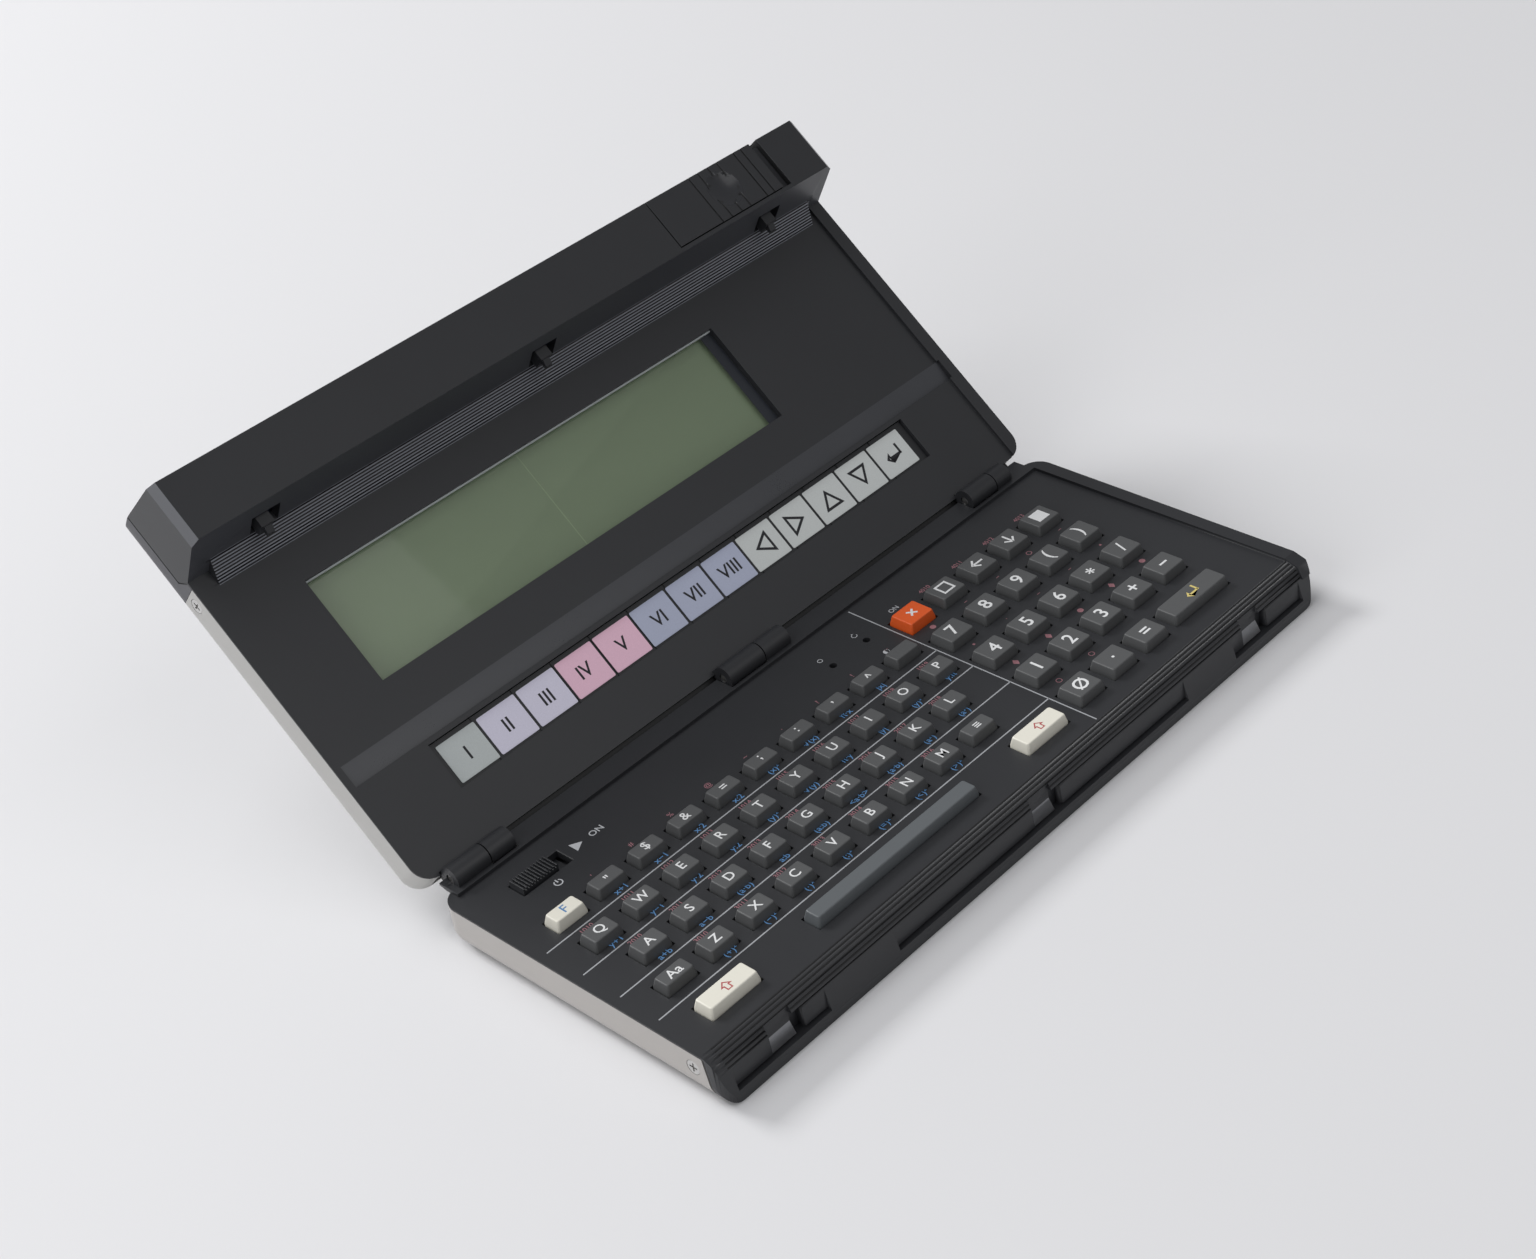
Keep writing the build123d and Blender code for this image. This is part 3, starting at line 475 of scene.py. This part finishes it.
def key_places():
    """Key groups: node, then the places, widths and marks of its keys."""
    groups = {"key_f": [(FIRST, ROWS[0], "F")]}

    def row(node, text, x, u, step=COLUMN):
        groups.setdefault(node, []).extend((x + step * i, u, mark) for i, mark in enumerate(text))

    row("keys_symbols", "\"$&=;:,^", FIRST + COLUMN, ROWS[0])
    row("keys_top_letters", "QWERTYUIOP", FIRST, ROWS[1])
    row("keys_middle_letters", "ASDFGHJKL", MIDDLE_FIRST, ROWS[2])
    groups["key_caps"] = [(FIRST, ROWS[3], "Aa")]
    row("keys_bottom_letters", "ZXCVBNM", FIRST + COLUMN, ROWS[3])
    row("key_mode", "≡", FIRST + COLUMN * 8, ROWS[3])
    row("key_shift_left", "⇧", 14.7, LAST_ROW)
    row("key_shift_right", "⇧", 106.4, LAST_ROW)
    row("key_break", "×", BLOCK_X, BLOCK_ROW)
    row("keys_edit", "□←↓■", BLOCK_X + BLOCK_STEP, BLOCK_ROW, BLOCK_STEP)
    for j, (digits, signs) in enumerate((("789", "()"), ("456", "*/"), ("123", "+−"))):
        u = BLOCK_ROW + BLOCK_PITCH * (j + 1)
        for i, digit in enumerate(digits):
            row("key_" + digit, digit, BLOCK_X + BLOCK_STEP * i, u)
        row("keys_operators", signs, BLOCK_X + BLOCK_STEP * 3, u, BLOCK_STEP)
    u = BLOCK_ROW + BLOCK_PITCH * 4
    row("key_0", "Ø", BLOCK_X, u)
    row("keys_operators", ".=", BLOCK_X + BLOCK_STEP, u, BLOCK_STEP)
    row("key_execute", "↵", BLOCK_X + BLOCK_STEP * 3.5, u)
    return groups


KEY_NODES = sorted(name for name in NODES if name.startswith(("key_", "keys_")) and name != "key_mat")


def key_corner(a, b):
    """Upright or leaning corner edge of a key over its flange."""
    return min(a.z, b.z) > -1.95 and abs(a.z - b.z) > 1.2


def key_rim(a, b):
    """Edge round the top of a key."""
    return min(a.z, b.z) > KEY_TOP - 0.02


class COMPUTER_OT_keys(Operator):
    """Keys with rounded corners and a soft top edge, in their plastic colours"""
    bl_idname = "computer.keys"
    bl_label = "Keys"

    def execute(self, context):
        sizes = context.scene.computer_sizes
        looks = context.scene.computer_colours
        grey = moulded("key_plastic", looks.key, 0.46, spread=0.03)
        special = {"key_f": (moulded("cream_plastic", looks.cream, 0.4, spread=0.015), "key_cream"),
                   "key_break": (moulded("orange_plastic", looks.orange, 0.4, spread=0.03), "key_orange"),
                   "key_space": (moulded("slate_plastic", looks.slate, 0.42, spread=0.03), "key_slate")}
        special["key_shift_left"] = special["key_shift_right"] = special["key_f"]
        for node in KEY_NODES:
            material, slot = special.get(node, (grey, "key_grey"))
            soft_copy(node, BASE, ((sizes.key_corner, 3, key_corner), (sizes.key_edge, 3, key_rim)), material)
        return {"FINISHED"}


class COMPUTER_OT_legends(Operator):
    """Letters, digits and signs printed on the keys"""
    bl_idname = "computer.legends"
    bl_label = "Key legends"

    def execute(self, context):
        sizes = context.scene.computer_sizes
        looks = context.scene.computer_colours
        white = ink("white_ink", looks.ink_white)
        blue = ink("key_blue_ink", shade(looks.ink_blue, 0.8))
        red = ink("key_red_ink", srgb(176, 84, 84))
        gold = ink("gold_ink", looks.ink_gold)
        inks = {"key_f": blue, "key_shift_left": red, "key_shift_right": red, "key_execute": gold}
        for node, marks in key_places().items():
            big = node[-1].isdigit() or node in ("keys_edit", "keys_operators", "key_break", "key_execute")
            size = sizes.digit_size if big else sizes.letter_size
            pieces = [typed(mark, x, -u, KEY_TOP, size, 0.012 if big else 0.008) for x, u, mark in marks]
            tone = inks.get(node, white)
            print_on("legend_" + node, pieces, BASE, "press_" + node, tone,
                     "key_grey" if tone in (white, gold) else "key_cream")
        return {"FINISHED"}


class COMPUTER_OT_panel_print(Operator):
    """Lines between the key rows, switch marks and small second marks beside the keys"""
    bl_idname = "computer.panel_print"
    bl_label = "Panel print"

    def execute(self, context):
        sizes = context.scene.computer_sizes
        looks = context.scene.computer_colours
        half = sizes.line_width / MM / 2
        top = sizes.print_thickness / MM * 1.5
        lines = [slab(2.4, 116.7, -u - half, -u + half, 0, top) for u in ROW_LINES]
        lines.append(slab(116.7 - half, 116.7 + half, -73.6, -4.8, 0, top))
        print_on("row_lines", lines, BASE, "base", ink("line_ink", srgb(164, 166, 170)), "body_black")

        small = sizes.small_size
        marks = [typed("ON", 32.7, -12.0, 0, small * 0.95, 0.01), typed("▶", 27.6, -12.1, 0, small * 1.35),
                 typed("⏻", 17.6, -17.2, 0, small, 0.01), typed("ON", 122.9, -12.65, 0, small * 0.75),
                 typed("↻", 110.7, -11.8, 0, small * 0.8), typed("○", 99.8, -11.8, 0, small * 0.7),
                 typed("◐", 110.3, -21.7, 0, small * 0.8)]
        print_on("switch_marks", marks, BASE, "base", ink("mark_ink", srgb(188, 190, 194)), "body_black")

        blue_rows = (("x+1 x−1 x·2 x:2 (x)² √(x) π·x |x|".split(), FIRST + COLUMN, ROWS[0], 3.0),
                     ("y+1 y−1 y·2 y:2 (y)² √(y) π·y |y| (y)³ y:π".split(), FIRST, ROWS[1], 3.25),
                     ("a+b a−b (a·b) a:b (a:b) <a·b> {a·b} (a²) (a³)".split(), MIDDLE_FIRST, ROWS[2], 3.25),
                     ("(+)² (−)² (·)² (:)² (=)² (<)² (>)²".split(), FIRST + COLUMN, ROWS[3], 3.25))
        blue = []
        for words, x, u, gap in blue_rows:
            blue.extend(typed(word, x + COLUMN * i + 0.7, -u - gap, 0, small * 0.92, 0.008)
                        for i, word in enumerate(words))
        print_on("front_marks", blue, BASE, "base", ink("blue_ink", looks.ink_blue), "body_black")

        red_rows = (("' # % @ ~ · ? ! _".split(), FIRST + COLUMN, ROWS[0], 4.9, COLUMN, 0.75),
                    ([str(1010 + i) for i in range(10)], FIRST, ROWS[1], 4.35, COLUMN, 0.7),
                    ([str(2010 + i) for i in range(9)], MIDDLE_FIRST, ROWS[2], 4.35, COLUMN, 0.7),
                    ([str(3010 + i) for i in range(7)], FIRST + COLUMN, ROWS[3], 4.35, COLUMN, 0.7),
                    ([str(4010 + i) for i in range(4)], BLOCK_X + BLOCK_STEP - 1.0, BLOCK_ROW, 5.6, BLOCK_STEP, 0.7))
        red = []
        for words, x, u, gap, step, scale in red_rows:
            red.extend(typed(word, x + step * i + 0.2, -u + gap, 0, small * scale, 0.008)
                       for i, word in enumerate(words))
        for j, row in enumerate(("●−−○−", "▪·−−▪", "♦♦●♦●", "○○")):
            red.extend(typed(mark, BLOCK_X + BLOCK_STEP * i + 0.6, -BLOCK_ROW - BLOCK_PITCH * (j + 1) + 6.3, 0,
                             small * 0.8) for i, mark in enumerate(row))
        print_on("rear_marks", red, BASE, "base", ink("red_ink", looks.ink_red), "body_black")
        return {"FINISHED"}


# ---------------------------------------------------------------- mouldings and covers

def base_outer(a, b):
    """Outer top edges and rim edges of the keyboard half."""
    low = min(a.z, b.z)
    mid = (a + b) / 2
    if low < -0.02 or abs(a.z - b.z) > 0.05:
        return False
    side = mid.x < 0.3 or mid.x > 186.7 or 183.2 < mid.x < 183.8
    back = -4.3 < mid.y < -3.7 or mid.y > -1.4
    return (side or back) and (a - b).length > 2


def lid_outer(a, b):
    """Outer edges of the lid panel, its rim, ridge top and window."""
    mid = (a + b) / 2
    if (a - b).length <= 3:
        return False
    ridge = mid.z > 13.4
    panel = abs(mid.z) < 0.05 and mid.y < 70 and (mid.x < 0.3 or abs(mid.x - 183.5) < 0.2)
    rim = abs(mid.z - 0.8) < 0.05
    window = abs(mid.z) < 0.05 and 20 < mid.x < 139.6 and 40.6 < mid.y < 67
    strip = abs(mid.z) < 0.05 and 19 < mid.x < 165 and 13.4 < mid.y < 24.8
    return ridge or panel or rim or window or strip


def pocket_slope(centre, normal):
    """Slanted metal faces in the three latch pockets of the front."""
    return -79 < centre.y < -76.5 and -7.9 < centre.z < -4.8 and -0.99 < normal.y < -0.3 and normal.z > 0.3


def nose_slope(centre, normal):
    """How far a face of the rounded nose follows its roundness; nothing for faces elsewhere."""
    u, z = -centre.y - NOSE_CENTRE[0], centre.z - NOSE_CENTRE[1]
    reach = math.hypot(u, z)
    near = 73.7 < -centre.y < 78.1 and -3.3 < centre.z < 0.01 and 2.7 < centre.x < 183.6
    if not (near and NOSE_REACH[0] < reach < NOSE_REACH[1]):
        return None
    return (-normal.y * u + normal.z * z) / reach


def nose_groove(centre, normal):
    """Sides of the grooves of the nose, which get painted shade."""
    follow = nose_slope(centre, normal)
    return follow is not None and 0.2 < follow < 0.7 and abs(normal.x) < 0.1


def step_slope(centre, normal):
    """Shallow slope behind the touch strip, which gets painted light."""
    return 25.8 < centre.y < 31 and -0.9 < centre.z < 0.01 and normal.z > 0.9


def on_band(centre):
    """Whether a place lies in the slanted ribbed band."""
    return 75 < centre.y < 80 and 0.01 < centre.z < 4.1


def band_rib(centre, normal):
    """Flats of the ribbed band at the foot of the ridge wall, which get painted light."""
    return on_band(centre) and BAND_SLOPE.dot(normal) > 0.95


def end_bevel(centre, normal):
    """Bevels at both ends of the ridge top, which get a painted highlight."""
    return centre.z > 11.9 and abs(normal.x) > 0.5 and normal.z > 0.5 and abs(centre.x - HALF_WIDTH) > 91


def ridge_wall(centre, normal):
    """Steep wall between the panel and the ridge top, which gets painted light."""
    return 78.9 < centre.y < 82.1 and 0.1 < centre.z < 13.5 and normal.y < -0.95


def shaded_gaps(centre, normal):
    """Sides of the grooves in the ribbed band, both ends of the slider's recess and the slopes of the seam, which
    get painted shade.
    """
    groove = on_band(centre) and 0.3 < BAND_SLOPE.dot(normal) < 0.6 and abs(normal.x) < 0.1
    end = abs(normal.x) > 0.9 and (abs(centre.x - 173.8) < 0.05 or abs(centre.x - 137.2) < 0.05)
    return groove or end or seam_side(centre, normal)


def seam_side(centre, normal):
    """Small slopes of the seam at both ends of the ridge, which get painted shade."""
    near = abs(centre.x - HALF_WIDTH) > HALF_WIDTH - 0.3 and 0.4 < abs(normal.x) < 0.9
    return near and centre.y > 78.6 and -3.9 < centre.z < -0.2


def dimple_face(centre, normal):
    """Faces of the thumb dimple, which get a painted highlight."""
    return 12.8 < centre.z < 13.59 and normal.z > 0.5 and math.hypot(centre.x - 157.6, centre.y - 90) < 5.5


def slider_groove(centre, normal):
    """Walls and floors of the cross grooves of the slider, which get painted shade."""
    return 13.3 < centre.z < 13.59 and (abs(normal.x) > 0.9 or abs(centre.z - 13.35) < 0.01)


def slot_edge(a, b):
    """Upper edge of the power switch's slot."""
    mid = (a + b) / 2
    return abs(mid.z) < 0.02 and 10.9 < mid.x < 24.1 and -14.6 < mid.y < -9.5


def end_seam(a, b):
    """Edges along the seam between the ridge and its housing, at both ends."""
    mid = (a + b) / 2
    outer = abs(abs(mid.x - HALF_WIDTH) - HALF_WIDTH) < 0.05 and abs(a.x - b.x) < 0.01
    slanted = 78.9 < mid.y < 81 and -3.6 < mid.z < -0.3 and abs(a.z - b.z) > 1
    level = abs(a.z - b.z) < 0.05 and -3.6 < mid.z < -3.3 and mid.y > 80.5
    return outer and (slanted or level)


def slider_edges(a, b):
    """Top edges of the latch slider."""
    return min(a.z, b.z) > 12.6 and (a - b).length > 1.5


def knob_edges(a, b):
    """Top edges of the power knob's ribs."""
    return min(a.z, b.z) > 0.5 and (a - b).length > 2


def housing_edges(a, b):
    """Lower edges of the ridge housing."""
    mid = (a + b) / 2
    return mid.z < -10.2 and mid.y > 97 and (a - b).length > 3


class COMPUTER_OT_mouldings(Operator):
    """Black mouldings, latch slider, power knob, ridge housing and battery door with eased edges"""
    bl_idname = "computer.mouldings"
    bl_label = "Mouldings"

    def execute(self, context):
        sizes = context.scene.computer_sizes
        looks = context.scene.computer_colours
        edge = sizes.moulding_edge
        black = moulded("black_plastic", looks.moulding)
        # painted light: the black plastic made lighter for the slope behind the touch strip
        slope_light = moulded("painted_slope_light", shade(looks.moulding, 2.2), 0.3)
        # painted light: the rib flats made much lighter than the black plastic, to lift the shade that the ridge
        # wall throws on the band
        ribbed = moulded("painted_rib_light", shade(looks.moulding, 10), 0.4)
        # painted light: the ridge wall, which stands in shade, made lighter than the black plastic
        wall_light = moulded("painted_wall_light", shade(looks.moulding, 2.2), 0.42)
        # painted highlight: a much lighter copy of the black plastic for the bevels at the ridge's ends
        bevel_highlight = moulded("painted_bevel_highlight", shade(looks.moulding, 4.2), 0.36)
        # painted shade: a near-black copy of the plastic for grooves, recess ends, the seam and the hinge gap
        painted_shade = moulded("painted_shade_black", shade(looks.moulding, 0.25), 0.5)
        panel = soft_copy("base_panel", BASE, ((edge, 3, base_outer), (edge * 0.7, 1, slot_edge)), black)
        paint(panel, BASE, bare_metal("satin_steel", srgb(150, 151, 154), 0.38), pocket_slope)
        # painted shade in the grooves of the nose
        paint(panel, BASE, painted_shade, nose_groove)
        cover = soft_copy("lid_frame", LID, ((edge, 3, lid_outer), (edge * 0.5, 1, end_seam)), black)
        # painted light on the slope behind the touch strip
        paint(cover, LID, slope_light, step_slope)
        # painted highlight on the bevels at both ends of the ridge top
        paint(cover, LID, bevel_highlight, end_bevel)
        # painted light on the flats of the ribbed band
        paint(cover, LID, ribbed, band_rib)
        # painted light on the shaded ridge wall
        paint(cover, LID, wall_light, ridge_wall)
        # painted shade in the band's grooves, at the ends of the slider's recess and on the seam
        paint(cover, LID, painted_shade, shaded_gaps)
        # low strip under the barrels, which closes the gap between the two halves; it is painted shade, a near-black
        # sheet standing for the shade in the hinge gap
        shadow_strip = slab(5.0, 181.6, -0.8, 2.1, -2.4, -1.4, 0.4)
        print_on("hinge_shadow_strip", [shadow_strip], LID, "lid", painted_shade, "body_black")
        dress_node("latch_bar", black)
        slider = soft_copy("latch_slider", LID, ((edge * 0.7, 2, slider_edges),), black)
        # painted highlight: the dimple a little lighter than the black plastic; its lower roughness makes it
        # glossier
        paint(slider, LID, moulded("glossy_dimple_highlight", shade(looks.moulding, 1.25), 0.22, depth=0.00001), dimple_face)
        # painted shade in the slider's cross grooves
        paint(slider, LID, painted_shade, slider_groove)
        soft_copy("power_knob", BASE, ((edge * 0.4, 2, knob_edges),), black)
        grey = moulded("housing_plastic", looks.housing, 0.5)
        housing = soft_copy("ridge_housing", LID, ((edge, 3, housing_edges), (edge * 0.5, 1, end_seam)), grey)
        # painted shade on the seam's slopes
        paint(housing, LID, painted_shade, seam_side)
        soft_copy("battery_door", LID, ((edge, 3, housing_edges),), grey)
        return {"FINISHED"}


class COMPUTER_OT_covers(Operator):
    """Painted sheet covers, side screws and hinge pins"""
    bl_idname = "computer.covers"
    bl_label = "Covers"

    def execute(self, context):
        looks = context.scene.computer_colours
        soft_copy("base_cover", BASE, (), painted_sheet("base_sheet", looks.base_sheet))
        soft_copy("lid_cover", LID, (), painted_sheet("lid_sheet", looks.lid_sheet))
        steel = bare_metal("plated_steel", srgb(206, 205, 203))
        for node in ("base_side_screws", "lid_side_screws", "hinge_pins", "shield_plate", "battery_contacts"):
            dress_node(node, steel)
        return {"FINISHED"}


# ---------------------------------------------------------------- display and touch strip

class COMPUTER_OT_display(Operator):
    """Display film, clear pane and the light edge behind it, a painted highlight of the pane's far edge"""
    bl_idname = "computer.display"
    bl_label = "Display"

    def execute(self, context):
        looks = context.scene.computer_colours
        dress_node("display_module", display_face("display_film", looks.display))
        dress_node("window_pane", clear_pane("clear_pane"))
        # painted highlight: a light strip along the far edge of the window, where the pane's edge catches the light
        edge = [slab(20.45, 139.15, 66.45, 66.75, -1.75, -1.0)]
        print_on("pane_edge_highlight", edge, LID, "lid", ink("painted_edge_highlight", srgb(196, 202, 204)), "pane")
        mask = [slab(136.2, 139.15, 40.85, 66.4, -1.8, -1.78)]
        print_on("pane_mask", mask, LID, "lid", ink("mask_blue", srgb(34, 38, 46)), "pane")
        seam = [slab(79.3, 79.5, 41.0, 66.4, -2.9, -2.88)]
        print_on("display_seam", seam, LID, "lid", ink("seam_green", shade(looks.display, 1.35)), "display")
        return {"FINISHED"}


class COMPUTER_OT_touch_strip(Operator):
    """Thirteen printed touch cells in five colours, with plain numerals and arrows"""
    bl_idname = "computer.touch_strip"
    bl_label = "Touch strip"

    def execute(self, context):
        sizes = context.scene.computer_sizes
        groups = (("grey_green", (188, 194, 194), (0,)), ("lavender", (215, 212, 230), (1, 2)),
                  ("pink", (236, 193, 213), (3, 4)), ("blue_grey", (177, 183, 205), (5, 6, 7)),
                  ("pale_grey", (205, 209, 208), (8, 9, 10, 11, 12)))
        gap = sizes.cell_gap / MM / 2
        for name, colour, cells in groups:
            pieces = [slab(CELLS_LEFT + CELL_PITCH * i + gap, CELLS_LEFT + CELL_PITCH * (i + 1) - gap,
                           CELLS_NEAR, CELLS_FAR, -1.0, CELLS_FACE, 0.3) for i in cells]
            piece = print_on("cells_" + name, pieces, LID, "lid", ink("cell_" + name, srgb(*colour)), "strip_grey")
            finish_shading(piece)
        dress_node("touch_strip", moulded("strip_plastic", srgb(30, 31, 34), 0.4))
        marks = [typed(mark, CELLS_LEFT + CELL_PITCH * (i + 0.5), (CELLS_NEAR + CELLS_FAR) / 2, CELLS_FACE,
                       NUMERAL_SIZE if i < NUMERALS else ARROW_SIZE, 0.012) for i, mark in enumerate(CELL_MARKS)]
        print_on("cell_marks", marks, LID, "lid", ink("dark_ink", srgb(24, 24, 30)), "strip_grey")
        return {"FINISHED"}


class COMPUTER_OT_inner_parts(Operator):
    """Boards, chips, rubber sheet, spacers, cells and switch inside the two halves"""
    bl_idname = "computer.inner_parts"
    bl_label = "Inner parts"

    def execute(self, context):
        board = circuit_board("board_lacquer", srgb(44, 92, 62))
        chip = moulded("chip_resin", srgb(38, 38, 40), 0.5)
        rubber = moulded("rubber", srgb(98, 98, 100), 0.7)
        wrap = moulded("cell_wrap", srgb(60, 74, 110), 0.35)
        dark = moulded("inner_plastic", srgb(60, 60, 64), 0.5)
        for node, material in (("main_board", board), ("lid_board", board), ("board_chips", chip),
                               ("lid_chips", chip), ("key_mat", rubber), ("battery_cells", wrap),
                               ("power_switch", dark), ("lid_spacers", dark)):
            dress_node(node, material)
        return {"FINISHED"}


# ---------------------------------------------------------------- studio

def aim(piece, target):
    """Turns a lamp towards a place."""
    piece.rotation_euler = (Vector(target) - piece.location).to_track_quat("-Z", "Y").to_euler()


def lamp(name, place, target, power, width, depth):
    """Soft rectangular lamp."""
    bpy.ops.object.select_all(action="DESELECT")
    bpy.ops.object.light_add(type="AREA", location=place)
    piece = bpy.context.object
    piece.name = name
    piece.data.shape = "RECTANGLE"
    piece.data.size = width
    piece.data.size_y = depth
    piece.data.energy = power
    aim(piece, target)


class COMPUTER_OT_studio(Operator):
    """Pale floor, soft lamps, plain world and the camera at the photograph's place"""
    bl_idname = "computer.studio"
    bl_label = "Studio"

    def execute(self, context):
        looks = context.scene.computer_colours
        bpy.ops.object.select_all(action="DESELECT")
        bpy.ops.mesh.primitive_plane_add(size=6.0, location=(0, 0, 0))
        floor = bpy.context.object
        floor.name = "floor"
        finish = Finish("floor_paper", 0.7)
        cloud = finish.noise(1.5, 3)
        finish.set("Base Color", finish.tint(cloud, shade(looks.floor, 0.98), shade(looks.floor, 1.02)))
        dress(floor, finish.material)

        lamp("key_lamp", (-0.65, 0.8, 2.3), (0, 0, 0), 23, 1.9, 1.6)
        lamp("back_lamp", (-0.35, 1.75, 1.25), (0, 0, 0), 26, 0.7, 0.5)
        lamp("left_lamp", (-1.6, 0.1, 0.9), (0, 0, 0.02), 7.4, 1.2, 0.8)
        lamp("front_fill", (0.3, -1.6, 1.6), (0, 0, 0), 8, 1.8, 1.4)

        world = context.scene.world or bpy.data.worlds.new("studio")
        context.scene.world = world
        world.use_nodes = True
        back = world.node_tree.nodes["Background"]
        back.inputs["Color"].default_value = (0.97, 0.975, 1.0, 1.0)
        back.inputs["Strength"].default_value = 0.27

        bpy.ops.object.camera_add(location=(-0.305255, -0.314609, 0.347748),
                                  rotation=(math.radians(57.756), math.radians(6.9458), math.radians(-47.5536)))
        camera = bpy.context.object
        camera.name = "photo_camera"
        camera.data.sensor_width = 36.0
        camera.data.lens = 62.303
        camera.data.shift_x = -0.03822
        camera.data.shift_y = -0.10526
        camera.data.clip_start = 0.01
        context.scene.camera = camera
        context.scene.view_settings.view_transform = "Standard"
        return {"FINISHED"}


class COMPUTER_PT_panel(Panel):
    """Lists the operators and the sizes and colours"""
    bl_idname = "COMPUTER_PT_panel"
    bl_label = "Pocket computer"
    bl_space_type = "VIEW_3D"
    bl_region_type = "UI"
    bl_category = "Computer"

    def draw(self, context):
        layout = self.layout
        for operator in OPERATORS:
            layout.operator(operator.bl_idname)
        for settings in (context.scene.computer_sizes, context.scene.computer_colours):
            column = layout.column()
            for name in settings.__annotations__:
                column.prop(settings, name)


OPERATORS = (COMPUTER_OT_mouldings, COMPUTER_OT_covers, COMPUTER_OT_keys, COMPUTER_OT_legends,
             COMPUTER_OT_panel_print, COMPUTER_OT_display, COMPUTER_OT_touch_strip, COMPUTER_OT_inner_parts,
             COMPUTER_OT_studio)
CLASSES = (ComputerSizes, ComputerColours, *OPERATORS, COMPUTER_PT_panel)


def register():
    for item in CLASSES:
        bpy.utils.register_class(item)
    bpy.types.Scene.computer_sizes = PointerProperty(type=ComputerSizes)
    bpy.types.Scene.computer_colours = PointerProperty(type=ComputerColours)


def unregister():
    del bpy.types.Scene.computer_colours
    del bpy.types.Scene.computer_sizes
    for item in reversed(CLASSES):
        bpy.utils.unregister_class(item)


def main():
    register()
    bpy.ops.computer.mouldings()
    bpy.ops.computer.covers()
    bpy.ops.computer.keys()
    bpy.ops.computer.legends()
    bpy.ops.computer.panel_print()
    bpy.ops.computer.display()
    bpy.ops.computer.touch_strip()
    bpy.ops.computer.inner_parts()
    bpy.ops.computer.studio()


if __name__ == "__main__":
    main()
